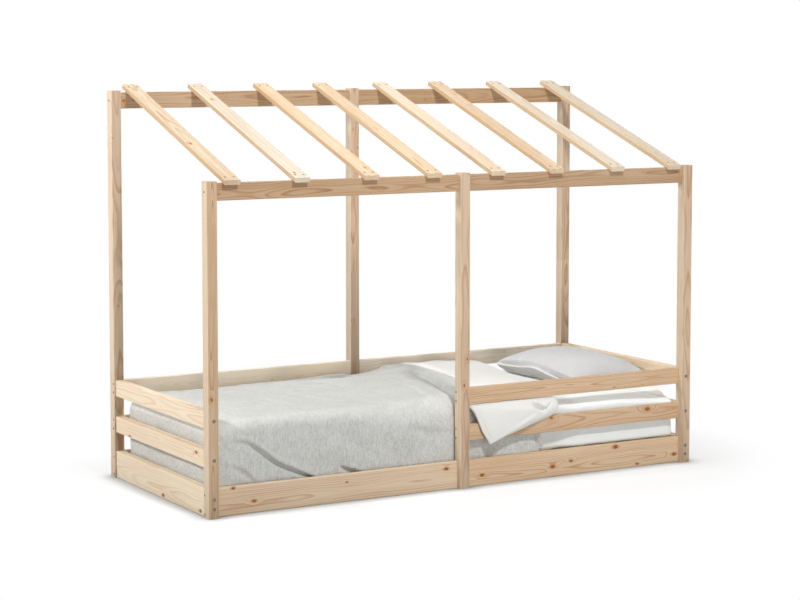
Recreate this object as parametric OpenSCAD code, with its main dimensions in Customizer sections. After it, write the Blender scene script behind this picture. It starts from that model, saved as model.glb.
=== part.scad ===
// Kids house bed: six posts, bolted ends, guard rails and a sloping slatted roof,
// with its mattress base, mattress, duvet and pillow. Millimetres, +Z up, +X to the head end,
// front towards -Y.

/* [Overall] */
// Length over the end posts
bed_l = 2090; // [1900:1:2300]
// Width over the front and back posts
bed_w = 885; // [800:1:1100]
// Height of the front posts
front_h = 1175; // [1000:1:1300]
// Height of the back posts
back_h = 1472; // [1350:1:1600]

/* [Posts] */
// Post size along the bed
post_x = 40; // [34:1:50]
// Post size across the bed
post_y = 42; // [36:1:52]
// Height of the splice in the back posts
splice_z = 732; // [600:1:900]
// Radius of every planed arris
arris = 3; // [1:0.5:4]

/* [Boards] */
// Thickness of rails, planks and headers along the bed
board_t = 18; // [15:0.5:22]
// Height of rails and headers
rail_h = 62; // [54:1:70]
// Height of the bottom planks
plank_h = 102; // [94:1:120]
// Underside of the middle rails
middle_z = 174; // [160:1:190]
// Underside of the upper rails
upper_z = 312; // [300:1:340]
// Thickness of the end rails and end planks
end_t = 30; // [26:1:32]
// Set-back of the end rails from the posts' outer faces
end_inset = 7; // [2:0.5:8]
// Drop from a post's top to its header's top
header_drop = 6; // [2:1:20]

/* [Roof] */
// Width of a roof slat
slat_w = 60; // [45:1:75]
// Thickness of a roof slat
slat_t = 18; // [15:0.5:22]
// Slat length past the front header's face, along the slope
slat_nose = 22; // [15:1:60]
// Slat length past the back header's inner face, along the slope
slat_tail = 37; // [30:1:80]
// Centre of the first slat from the corner post
slat_first = 55; // [45:1:90]
// Centre of a bay's last slat from the middle post
slat_last = 117; // [60:1:160]
// Places of a bay's slats between its first and its last
slat_places = [0, 0.333, 0.677, 1];

/* [Mattress base] */
// Thickness of a ledger strip
ledger_t = 20; // [16:1:26]
// Height of a ledger strip
ledger_h = 30; // [24:1:34]
// Underside of the ledger strips
ledger_z = 42; // [34:1:46]
// Number of cross slats
base_n = 15; // [10:1:17]
// Width of a cross slat
base_w = 60; // [50:1:70]
// Thickness of a cross slat
base_t = 18; // [12:1:20]
// Width of a ribbon under the cross slats
ribbon_w = 20; // [12:1:30]
// Distance between the two ribbons
ribbon_gap = 520; // [400:1:600]

/* [Fasteners] */
// Diameter of the corner bolts
bolt_d = 6; // [5:0.5:7]
// Diameter of a bolt head
bolt_head_d = 13; // [11:0.5:15]
// Thickness of a bolt head
bolt_head_h = 4.5; // [3:0.5:6]
// Width across the flats of the hexagon socket
socket_af = 4; // [3:0.5:5]
// Spacing of the two bolts in an end plank
bolt_pair = 34; // [28:1:44]
// Diameter of a barrel nut
nut_d = 10; // [9:0.5:12]
// Length of a barrel nut
nut_l = 16; // [12:1:20]
// Distance of a barrel nut from the rail's end
nut_in = 35; // [25:1:50]
// Diameter of the long screws
screw_d = 4.5; // [4:0.5:5]
// Length of the long screws
screw_l = 75; // [65:1:90]
// Spacing of the two screws in a rail's end
screw_pair = 34; // [28:1:40]
// Height of a plank's lower screw
plank_screw_low = 12; // [9:1:20]
// Height of a plank's upper screw
plank_screw_high = 80; // [74:1:86]
// Length of the roof screws
roof_screw_l = 34; // [30:1:40]
// Spacing of the two screws across a roof slat
roof_pair = 33; // [24:1:36]
// Length of the ledger screws
ledger_screw_l = 32; // [28:1:35]
// Number of screws in a ledger strip
ledger_screw_n = 4; // [3:1:6]
// Diameter of the dowels
dowel_d = 8; // [6:1:8]
// Length of the dowels in the rails
dowel_l = 36; // [30:1:38]
// Length of the dowels in the splices
splice_dowel_l = 60; // [40:1:80]
// Spacing of the two dowels in a splice
splice_pair = 18; // [14:1:20]

/* [Bedding] */
// Mattress height at its edges
mattress_h = 196; // [150:1:210]
// Rise of the mattress top towards its middle
mattress_crown = 5; // [2:1:10]
// Draw-in of the mattress sides at mid height
mattress_waist = 3; // [0:0.5:6]
// Gap from the mattress to the head rails
mattress_head_gap = 18; // [8:1:24]
// Gap from the mattress to the foot rails, with room for the duvet
mattress_foot_gap = 23; // [20:1:40]
// Gap from the mattress to the back boards
mattress_back_gap = 4; // [2:0.5:8]
// Gap from the mattress to the front boards, with room for the duvet
mattress_front_gap = 27; // [20:1:40]
// Distance of the duvet's head edge from the head rails, along the back
duvet_short = 412; // [405:1:500]
// Set-back of the duvet's head edge at the front
duvet_slant = 235; // [100:1:300]
// Loft of the duvet on the mattress
duvet_loft = 38; // [25:1:60]
// Thickness of the duvet where it hangs
duvet_t = 9; // [5:0.5:11]
// Depth of the hanging folds
fold_depth = 7; // [2:0.5:8]
// Distance from one hanging fold to the next
fold_pitch = 300; // [200:5:400]
// Rise of the duvet where it is bunched up
duvet_rise = 26; // [0:1:32]
// Gap from the duvet's hem to the cross slats
hem_gap = 6; // [3:1:20]
// Thickness of the turned-back layer
turn_t = 16; // [8:1:20]
// Width of the turned-back layer along the bed, at the back
turn_w = 462; // [400:1:480]
// Distance of the turned-back layer from the duvet's head edge, at the back
turn_short = 29; // [10:1:60]
// Width of the corner that passes out between the guard rails
corner_w = 369; // [330:1:400]
// Distance of that corner from the middle post
corner_gap = 16; // [8:1:30]
// Lowest point of the corner that hangs over the middle rail
corner_z = 157; // [120:1:165]
// Pillow size along the bed
pillow_x = 380; // [300:1:390]
// Pillow size across the bed
pillow_y = 620; // [450:1:700]
// Pillow thickness
pillow_h = 105; // [70:1:140]
// Gap from the pillow to the head rails
pillow_gap = 14; // [8:1:30]
// Gap from the pillow to the back boards
pillow_back_gap = 43; // [20:1:80]

/* [Hidden] */

// Clearances
soft_gap = 0.4;
bolt_play = 0.3;
pilot_play = 0.05;
nut_play = 0.1;
dowel_play = 0.05;
end_play = 1;
cut_past = 1;

// Fastener details that follow from the sizes above
head_proud = 1;
socket_deep = 2.5;
screw_head_d = 2 * screw_d - 0.5;
screw_head_h = (screw_head_d - screw_d) / 2;
screw_sunk = 0.8;
point_l = 5;
cross_w = 0.9;
cross_deep = 1.6;

// Places of the posts, bays and boards
post_left = [-bed_l / 2, -post_x / 2, bed_l / 2 - post_x];
bay_l = (bed_l - 3 * post_x) / 2;
bay_left = [-bed_l / 2 + post_x, post_x / 2];
front_board_y = post_y - board_t;
back_board_y = bed_w - post_y;
header_set = (post_y - board_t) / 2;
header_y = [header_set, bed_w - post_y + header_set];
header_z = [front_h - header_drop - rail_h, back_h - header_drop - rail_h];
end_left = [-bed_l / 2 + end_inset, bed_l / 2 - end_inset - end_t];
inner_x = bed_l / 2 - end_inset - end_t;
inner_w = bed_w - 2 * post_y;

// Slope of the roof: the slats touch the rounded front arrises of both headers
slope = atan2(header_z[1] - header_z[0], header_y[1] - header_y[0]);
slope_run = (header_y[1] - header_y[0]) / cos(slope);
slat_foot_y = header_y[0] + arris * (1 - sin(slope));
slat_foot_z = header_z[0] + rail_h - arris * (1 - cos(slope));
slat_l = slat_nose + slope_run + slat_tail;
roof_screw_in = 8;

// The roof slats reach furthest to the front and back, so they set the middle of the frame
reach_front = slat_foot_y - slat_nose * cos(slope) - slat_t * sin(slope);
reach_back = slat_foot_y + (slope_run + slat_tail) * cos(slope);
y_mid = (reach_front + reach_back) / 2;

// Slat centres of both bays, the head bay as the mirror of the foot bay
slat_run = bay_l - slat_first - slat_last;
slat_x = [
    for (p = slat_places) bay_left[0] + slat_first + p * slat_run,
    for (i = [3:-1:0]) -(bay_left[0] + slat_first + slat_places[i] * slat_run)
];

// Mattress base and bedding
ledger_l = inner_x - end_play;
base_z = ledger_z + ledger_h;
base_top = base_z + base_t;
base_l = inner_w - 10;
base_first = -inner_x + 10 + base_w / 2;
base_pitch = -2 * base_first / (base_n - 1);
ribbon_t = 1.2;
mattress_r = 34;
mattress_edge = 26;
mattress_head = inner_x - mattress_head_gap;
mattress_foot = -inner_x + mattress_foot_gap;
mattress_back = bed_w - post_y - mattress_back_gap;
mattress_front = post_y + mattress_front_gap;
mattress_l = mattress_head - mattress_foot;
mattress_w = mattress_back - mattress_front;
mattress_z = base_top + soft_gap;
mattress_top = mattress_z + mattress_h;
duvet_head = inner_x - duvet_short;
duvet_under = mattress_top + mattress_crown + soft_gap;
hem_z = base_top + hem_gap;
rise_x = 255;
turn_x = duvet_head - turn_short - turn_w;
corner_x = post_x / 2 + corner_gap;
pillow_seam = 26;

wood = "burlywood";
steel = "silver";

// A rectangle with its low corner at the origin and rounded arrises
module section(a, b, r = arris) {
    translate([r, 0]) square([a - 2 * r, b]);
    translate([0, r]) square([a, b - 2 * r]);
    for (x = [r, a - r], y = [r, b - r]) {
        translate([x, y]) circle(r = r, $fn = 24);
    }
}

// Planed timber along each axis, from the low corner
module timber_x(size) {
    rotate([90, 0, 90]) linear_extrude(size[0]) section(size[1], size[2]);
}
module timber_y(size) {
    translate([0, size[1], 0]) rotate([90, 0, 0]) linear_extrude(size[1]) section(size[0], size[2]);
}
module timber_z(size) {
    linear_extrude(size[2]) section(size[0], size[1]);
}

// The bed's front face is at y = 0 while building; the frame's origin is below the middle
module seat(p) {
    translate([p[0], p[1] - y_mid, p[2]]) children();
}

// A countersunk screw along +Z from the surface; grow makes the hole for it
module screw(l, grow = 0) {
    r = screw_d / 2 + grow;
    head_r = screw_head_d / 2 + grow;
    difference() {
        union() {
            translate([0, 0, screw_sunk]) cylinder(h = screw_head_h, r1 = head_r, r2 = r, $fn = 24);
            translate([0, 0, screw_sunk + screw_head_h])
                cylinder(h = l - point_l - screw_head_h, r = r, $fn = 24);
            translate([0, 0, screw_sunk + l - point_l]) cylinder(h = point_l, r1 = r, r2 = 0.4, $fn = 24);
            if (grow > 0) {
                translate([0, 0, -cut_past]) cylinder(h = screw_sunk + cut_past, r = head_r, $fn = 24);
            }
        }
        if (grow == 0) {
            for (turn = [0, 90]) {
                rotate([0, 0, turn])
                    translate([-screw_d / 2, -cross_w / 2, screw_sunk - cut_past])
                    cube([screw_d, cross_w, cross_deep + cut_past]);
            }
        }
    }
}

// Heights of the screws that hold a long board, by its kind and underside
function screw_heights(kind, z) =
    kind == "plank" ? [plank_screw_low, plank_screw_high] :
    kind == "rail" ? [z + (rail_h - screw_pair) / 2, z + (rail_h + screw_pair) / 2] :
    [z + rail_h / 2];

// Heights of the dowels in the foot-bay boards, kept between the screws
function dowel_heights(kind, z) =
    kind == "plank" ? [plank_h / 3, plank_h * 0.6] :
    kind == "rail" ? [z + rail_h / 2] :
    [z + rail_h / 2 - screw_pair / 2, z + rail_h / 2 + screw_pair / 2];

// Long boards of each side: kind, underside, first face across the bed, and the bays they fill
function boards(side) = side == 0 ? [
    ["plank", 0, front_board_y, [0, 1]],
    ["rail", middle_z, front_board_y, [1]],
    ["rail", upper_z, front_board_y, [1]],
    ["header", header_z[0], header_y[0], [0, 1]]
] : [
    ["plank", 0, back_board_y, [0, 1]],
    ["rail", middle_z, back_board_y, [0, 1]],
    ["rail", upper_z, back_board_y, [0, 1]],
    ["header", header_z[1], header_y[1], [0, 1]]
];

function fills(board, bay) = len([for (b = board[3]) if (b == bay) b]) > 0;

// Screws of one board at one post column: 0 foot, 1 middle, 2 head
module board_screws(board, column, grow = 0) {
    outer = column == 2 ? bed_l / 2 : post_left[column];
    facing = column == 2 ? -90 : 90;
    if (fills(board, column == 0 ? 0 : 1)) {
        for (z = screw_heights(board[0], board[1])) {
            seat([outer, board[2] + board_t / 2, z]) rotate([0, facing, 0]) screw(screw_l, grow);
        }
    }
}

// Dowels of one foot-bay board in the middle post
module board_dowels(board, grow = 0) {
    if (fills(board, 0)) {
        for (z = dowel_heights(board[0], board[1])) {
            seat([-post_x / 2 - dowel_l / 2 - grow, board[2] + board_t / 2, z])
                rotate([0, 90, 0]) cylinder(h = dowel_l + 2 * grow, d = dowel_d + 2 * grow, $fn = 24);
        }
    }
}

// Corner bolts: the side, the end and the height give each one its place
bolt_heights = [
    upper_z + rail_h / 2, middle_z + rail_h / 2,
    (plank_h + bolt_pair) / 2, (plank_h - bolt_pair) / 2
];
bolt_l = post_y - bolt_head_h + head_proud + nut_in + nut_d;
function bolt_x(end) = end_left[end] + end_t / 2;

module at_bolt(side, end, z) {
    seat([bolt_x(end), side == 0 ? 0 : bed_w, z]) rotate([side == 0 ? -90 : 90, 0, 0]) children();
}

// A socket bolt along +Z, with its head just proud of the post
module bolt() {
    translate([0, 0, -head_proud]) difference() {
        union() {
            cylinder(h = 1, r1 = bolt_head_d / 2 - 1, r2 = bolt_head_d / 2, $fn = 32);
            translate([0, 0, 1]) cylinder(h = bolt_head_h - 1, d = bolt_head_d, $fn = 32);
            translate([0, 0, bolt_head_h]) cylinder(h = bolt_l, d = bolt_d, $fn = 24);
        }
        translate([0, 0, -cut_past])
            cylinder(h = socket_deep + cut_past, d = socket_af / cos(30), $fn = 6);
    }
}

module bolt_cut(reach) {
    translate([0, 0, -cut_past]) cylinder(h = reach + cut_past, d = bolt_d + 2 * bolt_play, $fn = 24);
    translate([0, 0, -cut_past])
        cylinder(h = bolt_head_h - head_proud + cut_past, d = bolt_head_d + 2 * bolt_play, $fn = 32);
}

// The barrel nut's place along its rail, seen from the inner face of the end
module at_nut(side, end, z) {
    y = side == 0 ? post_y + nut_in : bed_w - post_y - nut_in;
    seat([bolt_x(end), y, z]) rotate([0, end == 0 ? 90 : -90, 0]) children();
}

// A post with the bolts and screws that pass through it
module post(side, column, low, high) {
    color(wood) difference() {
        seat([post_left[column], side == 0 ? 0 : bed_w - post_y, low])
            timber_z([post_x, post_y, high - low]);
        for (board = boards(side)) {
            if (board[1] >= low - 1 && board[1] < high) {
                board_screws(board, column, pilot_play);
                if (column == 1) board_dowels(board, dowel_play);
            }
        }
        if (column != 1 && low == 0) {
            for (z = bolt_heights) {
                at_bolt(side, column / 2, z) bolt_cut(post_y + cut_past);
            }
        }
        if (side == 1) splice_dowels_of(column, dowel_play);
    }
}

module splice_dowels_of(column, grow = 0) {
    for (s = [-1, 1]) {
        seat([
            post_left[column] + post_x / 2 + s * splice_pair / 2, bed_w - post_y / 2,
            splice_z - splice_dowel_l / 2 - grow
        ]) cylinder(h = splice_dowel_l + 2 * grow, d = dowel_d + 2 * grow, $fn = 24);
    }
}

// An end rail or plank with its bolt holes and the cross holes for the barrel nuts
module end_board(end, z, h, heights) {
    color(wood) difference() {
        seat([end_left[end], post_y, z]) timber_y([end_t, inner_w, h]);
        for (side = [0, 1], hole = heights) {
            at_bolt(side, end, hole)
                cylinder(h = post_y + nut_in + nut_d + cut_past, d = bolt_d + 2 * bolt_play, $fn = 24);
            at_nut(side, end, hole) translate([0, 0, -nut_l / 2])
                cylinder(h = nut_l / 2 + end_t / 2 + cut_past, d = nut_d + 2 * nut_play, $fn = 24);
        }
    }
}

// A board along the bed in one bay, drilled for its screws and dowels
module long_board(side, index, bay) {
    board = boards(side)[index];
    h = board[0] == "plank" ? plank_h : rail_h;
    color(wood) difference() {
        seat([bay_left[bay], board[2], board[1]]) timber_x([bay_l, board_t, h]);
        board_screws(board, bay, pilot_play);
        if (bay == 1) board_screws(board, 2, pilot_play);
        if (bay == 0) board_dowels(board, dowel_play);
        if (board[0] == "header") {
            for (i = [4 * bay : 4 * bay + 3]) roof_screws_of(i, side, pilot_play);
        }
        if (board[0] == "plank") ledger_screws_of(side, bay, pilot_play);
    }
}

// The frame of a roof slat: y along its underside from the front header, z out of it
module on_slope(x) {
    seat([x, slat_foot_y, slat_foot_z]) rotate([slope, 0, 0]) children();
}

// Screws of one roof slat into one header
module roof_screws_of(i, side, grow = 0) {
    for (s = [-1, 1]) {
        on_slope(slat_x[i])
            translate([s * roof_pair / 2, roof_screw_in + side * slope_run, slat_t])
            rotate([180, 0, 0]) screw(roof_screw_l, grow);
    }
}

module roof_slat(i) {
    color(wood) difference() {
        on_slope(slat_x[i]) translate([-slat_w / 2, -slat_nose, 0]) timber_y([slat_w, slat_l, slat_t]);
        for (side = [0, 1]) roof_screws_of(i, side, pilot_play);
    }
}

// Ledger strips stand against the long planks and end at the middle of the bed
module ledger_screws_of(side, bay, grow = 0) {
    step = (bay_l - 2 * 70) / (ledger_screw_n - 1);
    for (i = [0 : ledger_screw_n - 1]) {
        seat([
            bay_left[bay] + 70 + i * step,
            side == 0 ? post_y + ledger_t : bed_w - post_y - ledger_t,
            ledger_z + ledger_h / 2
        ]) rotate([side == 0 ? 90 : -90, 0, 0]) screw(ledger_screw_l, grow);
    }
}

module ledger(side, bay) {
    color(wood) difference() {
        seat([
            bay == 0 ? -inner_x + end_play / 2 : end_play / 2,
            side == 0 ? post_y : bed_w - post_y - ledger_t,
            ledger_z
        ]) timber_x([ledger_l, ledger_t, ledger_h]);
        ledger_screws_of(side, bay, pilot_play);
    }
}

module base_slats() {
    color("wheat") for (i = [0 : base_n - 1]) {
        seat([base_first + i * base_pitch - base_w / 2, (bed_w - base_l) / 2, base_z])
            timber_y([base_w, base_l, base_t]);
    }
}

module base_ribbons() {
    color("whitesmoke") for (s = [-1, 1]) {
        seat([base_first - base_w / 2, (bed_w + s * ribbon_gap - ribbon_w) / 2, base_z - ribbon_t])
            cube([-2 * base_first + base_w, ribbon_w, ribbon_t]);
    }
}

module corner_bolts() {
    color(steel) for (side = [0, 1], end = [0, 1], z = bolt_heights) at_bolt(side, end, z) bolt();
}

module barrel_nuts() {
    color(steel) for (side = [0, 1], end = [0, 1], z = bolt_heights) {
        at_nut(side, end, z) difference() {
            translate([0, 0, -nut_l / 2]) cylinder(h = nut_l, d = nut_d, $fn = 24);
            rotate([90, 0, 0]) translate([0, 0, -nut_d])
                cylinder(h = 2 * nut_d, d = bolt_d + nut_play, $fn = 24);
        }
    }
}

module side_screws() {
    color(steel) for (side = [0, 1], board = boards(side), column = [0, 1, 2]) {
        board_screws(board, column);
    }
}

module roof_screws() {
    color(steel) for (i = [0 : 7], side = [0, 1]) roof_screws_of(i, side);
}

module ledger_screws() {
    color(steel) for (side = [0, 1], bay = [0, 1]) ledger_screws_of(side, bay);
}

module rail_dowels() {
    color("tan") for (side = [0, 1], board = boards(side)) board_dowels(board);
}

module splice_dowels() {
    color("tan") for (column = [0, 1, 2]) splice_dowels_of(column);
}

// Closed skin over level rings of equal length from the lowest up, with a middle point at each end
module ring_skin(rings, first, last) {
    n = len(rings[0]);
    m = len(rings);
    points = concat([first], [for (ring = rings) each ring], [last]);
    end = len(points) - 1;
    sides = [
        for (j = [0 : m - 2], i = [0 : n - 1])
            let (a = 1 + j * n + i, b = 1 + j * n + (i + 1) % n)
            each [[a, b + n, b], [a, a + n, b + n]]
    ];
    caps = [
        for (i = [0 : n - 1])
            each [
                [0, 1 + i, 1 + (i + 1) % n],
                [end, 1 + (m - 1) * n + (i + 1) % n, 1 + (m - 1) * n + i]
            ]
    ];
    polyhedron(points, concat(sides, caps), convexity = 6);
}

// Closed skin over a grid of upper points and one of lower points, rows from the back to the front
module sheet_skin(upper, lower) {
    m = len(upper);
    n = len(upper[0]);
    half = m * n;
    points = concat([for (row = upper) each row], [for (row = lower) each row]);
    faces = [
        for (j = [0 : m - 2], i = [0 : n - 2])
            let (a = j * n + i, b = a + 1, c = a + n, d = c + 1)
            each [
                [a, b, d], [a, d, c],
                [half + a, half + d, half + b], [half + a, half + c, half + d]
            ]
    ];
    rim = concat(
        [for (i = [0 : n - 1]) i],
        [for (j = [1 : m - 1]) j * n + n - 1],
        [for (i = [n - 2 : -1 : 0]) (m - 1) * n + i],
        [for (j = [m - 2 : -1 : 1]) j * n]
    );
    count = len(rim);
    edges = [
        for (k = [0 : count - 1])
            let (a = rim[k], b = rim[(k + 1) % count])
            each [[a, half + b, b], [a, half + a, half + b]]
    ];
    polyhedron(points, concat(faces, edges), convexity = 6);
}

// Points from one to the other, without either end
function between(p, q, n) = [for (k = [1 : n]) p + (q - p) * k / (n + 1)];

// The mattress's outline, anticlockwise from the foot, with round corners
function mattress_outline(inset) =
    let (
        x = [mattress_foot + mattress_r, mattress_head - mattress_r],
        y = [mattress_front + mattress_r, mattress_back - mattress_r],
        middles = [[x[0], y[0]], [x[1], y[0]], [x[1], y[1]], [x[0], y[1]]],
        arcs = [
            for (q = [0 : 3])
                [for (k = [0 : 4])
                    let (a = 180 + 90 * (q + k / 4)) middles[q] + (mattress_r - inset) * [cos(a), sin(a)]]
        ]
    )
    [for (q = [0 : 3]) each concat(arcs[q], between(arcs[q][4], arcs[(q + 1) % 4][0], 1))];

// Height of the crown over the mattress edges at a share of the way out from the middle
function crown_at(s) = mattress_crown * (1 - s * s);

module mattress() {
    mid = [(mattress_foot + mattress_head) / 2, (mattress_front + mattress_back) / 2];
    edge = [
        for (upper = [0, 1], k = [0 : 5])
            let (
                a = 18 * k - 90 * (1 - upper),
                z = upper == 0 ? mattress_edge * (1 + sin(a)) : mattress_h - mattress_edge * (1 - sin(a))
            )
            [mattress_edge * (1 - cos(a)) + mattress_waist * sin(180 * z / mattress_h), z]
    ];
    sides = [for (e = edge) [for (p = mattress_outline(e[0])) [p[0], p[1], e[1]]]];
    top = [
        for (s = [0.85, 0.6, 0.3])
            [for (p = mattress_outline(mattress_edge))
                let (q = mid + (p - mid) * s) [q[0], q[1], mattress_h + crown_at(s)]]
    ];
    color("white") seat([0, 0, mattress_z])
        ring_skin(concat(sides, top), [mid[0], mid[1], 0], [mid[0], mid[1], mattress_h + mattress_crown]);
}

// Height of the duvet's upper side: its loft, broad waves, and a rise where it is bunched up
function duvet_top(p) = duvet_under + duvet_loft
    + 4 * sin(p[0] * 0.42 + p[1] * 0.25) + 3 * sin(p[1] * 0.7 - p[0] * 0.2)
    + duvet_rise * exp(-pow((p[0] - rise_x) / 190, 2));

// The duvet's head edge runs at a slant from the back to the front
function slanted(p) = [
    p[0] - duvet_slant * max(0, p[0] - mattress_foot) / (duvet_head - mattress_foot)
        * (mattress_back - p[1]) / mattress_w,
    p[1]
];

// How far the duvet hangs at a point of its outline: 1 at the foot and front, 0 at the back and head
function hang(p) = max(0, min(1, (duvet_head - 12 - p[0]) / 10, (mattress_back - 5 - p[1]) / 14));

// The duvet's outline, anticlockwise from the foot: two round corners, and two square ones at its head edge
function duvet_outline(out) =
    let (
        y0 = mattress_front - out,
        y1 = mattress_back + out,
        middles = [
            [mattress_foot + mattress_r, mattress_front + mattress_r],
            [mattress_foot + mattress_r, mattress_back - mattress_r]
        ],
        front = [for (a = [180 : 18 : 270]) middles[0] + (mattress_r + out) * [cos(a), sin(a)]],
        back = [for (a = [90 : 18 : 180]) middles[1] + (mattress_r + out) * [cos(a), sin(a)]]
    )
    concat(
        front, between(front[5], [duvet_head - 24, y0], 18),
        [for (d = [24, 12, 0]) [duvet_head - d, y0]],
        between([duvet_head, y0], [duvet_head, y1], 8),
        [for (d = [0, 12]) [duvet_head - d, y1]],
        between([duvet_head - 12, y1], back[0], 18), back,
        between(back[5], front[0], 8)
    );

// One ring of the duvet: how far it stands out and how high it is, where it hangs and where it lies
function duvet_ring(out_hung, out_lying, up_hung, up_lying, fold) =
    let (inner = duvet_outline(0), outer = duvet_outline(1))
    [
        for (i = [0 : len(inner) - 1])
            let (
                h = hang(inner[i]),
                wave = fold * fold_depth * (1 + sin(360 * (inner[i][0] - inner[i][1]) / fold_pitch)) / 2,
                edge = inner[i][1] < mattress_front + 1,
                out = h > 0 || edge ? out_hung + wave : out_lying,
                q = slanted(inner[i] + (outer[i] - inner[i]) * out),
                z_hung = hem_z + up_hung * (duvet_under - hem_z),
                z_lying = duvet_under + up_lying * duvet_loft
            )
            [q[0], q[1], h * z_hung + (1 - h) * z_lying]
    ];

// The duvet where it lies and hangs, from its underside round its hem to its top
module duvet_body() {
    inside = 2 * soft_gap;
    outside = inside + duvet_t;
    rim = [for (p = duvet_outline(0)) slanted(p)];
    mid = [(mattress_foot + duvet_head) / 2 - duvet_slant / 4, (mattress_front + mattress_back) / 2];
    below = [
        for (s = [0.5, 0.94])
            [for (p = rim) let (q = mid + (p - mid) * s) [q[0], q[1], duvet_under]]
    ];
    hanging = [
        duvet_ring(inside, -3, 1, 0, 0),
        duvet_ring(inside, -2, 0.5, 0.1, 0.6),
        duvet_ring(inside, -1, 0, 0.2, 1),
        duvet_ring(outside, 0, 0, 0.3, 1),
        duvet_ring(outside, 0, 0.35, 0.45, 0.7),
        duvet_ring(outside, -1, 0.8, 0.6, 0.3),
        duvet_ring(1, -4, 1.1, 0.8, 0)
    ];
    above = [
        for (s = [0.95, 0.85, 0.6, 0.3])
            [for (p = rim) let (q = mid + (p - mid) * s) [q[0], q[1], duvet_top(q) - 6 * pow(s, 8)]]
    ];
    ring_skin(
        concat(below, hanging, above), [mid[0], mid[1], duvet_under], [mid[0], mid[1], duvet_top(mid)]
    );
}

// The turned-back head edge: a layer over the duvet, and the corner that passes out between the rails
module duvet_turned() {
    cells = 12;
    rail_top = middle_z + rail_h;
    face = front_board_y - 1.5;
    across = [
        for (back = [0.03, 0.1, 0.25, 0.42, 0.6, 0.78, 0.9, 0.97])
            let (
                y = mattress_back - back * mattress_w,
                x0 = turn_x + (corner_x - turn_x) * back,
                x1 = x0 + turn_w + (corner_w - turn_w) * back
            )
            [for (i = [0 : cells]) [x0 + (x1 - x0) * i / cells, y]]
    ];
    lying = [for (row = across) [for (p = row) [p[0], p[1], duvet_top(p) - 12]]];
    loft = [
        for (row = across)
            [for (i = [0 : cells]) [row[i][0], row[i][1],
                duvet_top(row[i]) + turn_t * (0.5 + 0.5 * sin(180 * i / cells))]]
    ];
    // Each row of the corner: its ends as shares of its width, then its inner and outer side as y and z
    rows = [
        [0, 1, mattress_front + 3, duvet_under + 8, post_y + 16, upper_z + 16],
        [0, 1.03, mattress_front - 11, rail_top + 26, post_y + 5, upper_z - 4],
        [0.01, 1.03, post_y + 4, rail_top + 4, post_y - 9, upper_z - 8],
        [0.03, 1.01, front_board_y + arris, rail_top + 2 * soft_gap, face - 6, upper_z - 16],
        [0.08, 0.91, face, rail_top - 1, face - 13, rail_top + 26],
        [0.13, 0.73, face, rail_top - 24, face - 13, rail_top - 12],
        [0.16, 0.58, face, (rail_top + corner_z) / 2 - 8, face - 12, (rail_top + corner_z) / 2 - 4],
        [0.19, 0.35, face, corner_z + 11, face - 9, corner_z + 12],
        [0.21, 0.24, face, corner_z, face - 5, corner_z]
    ];
    corner_in = [
        for (r = rows)
            [for (i = [0 : cells]) [corner_x + corner_w * (r[0] + (r[1] - r[0]) * i / cells), r[2], r[3]]]
    ];
    corner_out = [
        for (r = rows)
            [for (i = [0 : cells])
                let (puff = 0.35 + 0.65 * sin(180 * i / cells))
                [
                    corner_x + corner_w * (r[0] + (r[1] - r[0]) * i / cells),
                    r[2] + (r[4] - r[2]) * puff, r[3] + (r[5] - r[3]) * puff
                ]]
    ];
    sheet_skin(concat(loft, corner_out), concat(lying, corner_in));
}

module duvet() {
    color("lightgray") seat([0, 0, 0]) resize([0, 0, 0]) union() {
        duvet_body();
        duvet_turned();
    }
}

// A pillow with a crown, a seam round its edge, and sides drawn in between its pointed corners
function pillow_edge(u) = pow(1 - pow(abs(u), 2.4), 0.55);

function pillow_grid(side, n) = [
    for (j = [n : -1 : 0])
        [for (i = [0 : n])
            let (
                u = 2 * i / n - 1,
                v = 2 * j / n - 1,
                puff = pillow_edge(u) * pillow_edge(v),
                z = side > 0 ? pillow_seam + 1 + (pillow_h - pillow_seam - 1) * puff : pillow_seam * (1 - puff)
            )
            [
                pillow_x / 2 * u * (1 - 0.07 * (1 - v * v)),
                pillow_y / 2 * v * (1 - 0.05 * (1 - u * u)), z
            ]]
];

module pillow() {
    place_x = inner_x - pillow_gap - pillow_x / 2;
    place_y = bed_w - post_y - pillow_back_gap - pillow_y / 2;
    reach = (place_x - (mattress_foot + mattress_head) / 2) / (mattress_l / 2 - mattress_edge);
    color("gainsboro") seat([place_x, place_y, mattress_top + crown_at(reach) + soft_gap])
        sheet_skin(pillow_grid(1, 16), pillow_grid(-1, 16));
}

post(0, 0, 0, front_h);  // front_post_foot
post(0, 1, 0, front_h);  // front_post_middle
post(0, 2, 0, front_h);  // front_post_head
post(1, 0, 0, splice_z);  // back_post_foot_lower
post(1, 0, splice_z, back_h);  // back_post_foot_upper
post(1, 1, 0, splice_z);  // back_post_middle_lower
post(1, 1, splice_z, back_h);  // back_post_middle_upper
post(1, 2, 0, splice_z);  // back_post_head_lower
post(1, 2, splice_z, back_h);  // back_post_head_upper
end_board(0, 0, plank_h, [bolt_heights[2], bolt_heights[3]]);  // foot_plank
end_board(0, middle_z, rail_h, [bolt_heights[1]]);  // foot_middle_rail
end_board(0, upper_z, rail_h, [bolt_heights[0]]);  // foot_upper_rail
end_board(1, 0, plank_h, [bolt_heights[2], bolt_heights[3]]);  // head_plank
end_board(1, middle_z, rail_h, [bolt_heights[1]]);  // head_middle_rail
end_board(1, upper_z, rail_h, [bolt_heights[0]]);  // head_upper_rail
long_board(0, 0, 0);  // front_plank_foot
long_board(0, 0, 1);  // front_plank_head
long_board(0, 1, 1);  // guard_rail_middle
long_board(0, 2, 1);  // guard_rail_upper
long_board(1, 0, 0);  // back_plank_foot
long_board(1, 1, 0);  // back_middle_rail_foot
long_board(1, 2, 0);  // back_upper_rail_foot
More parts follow.
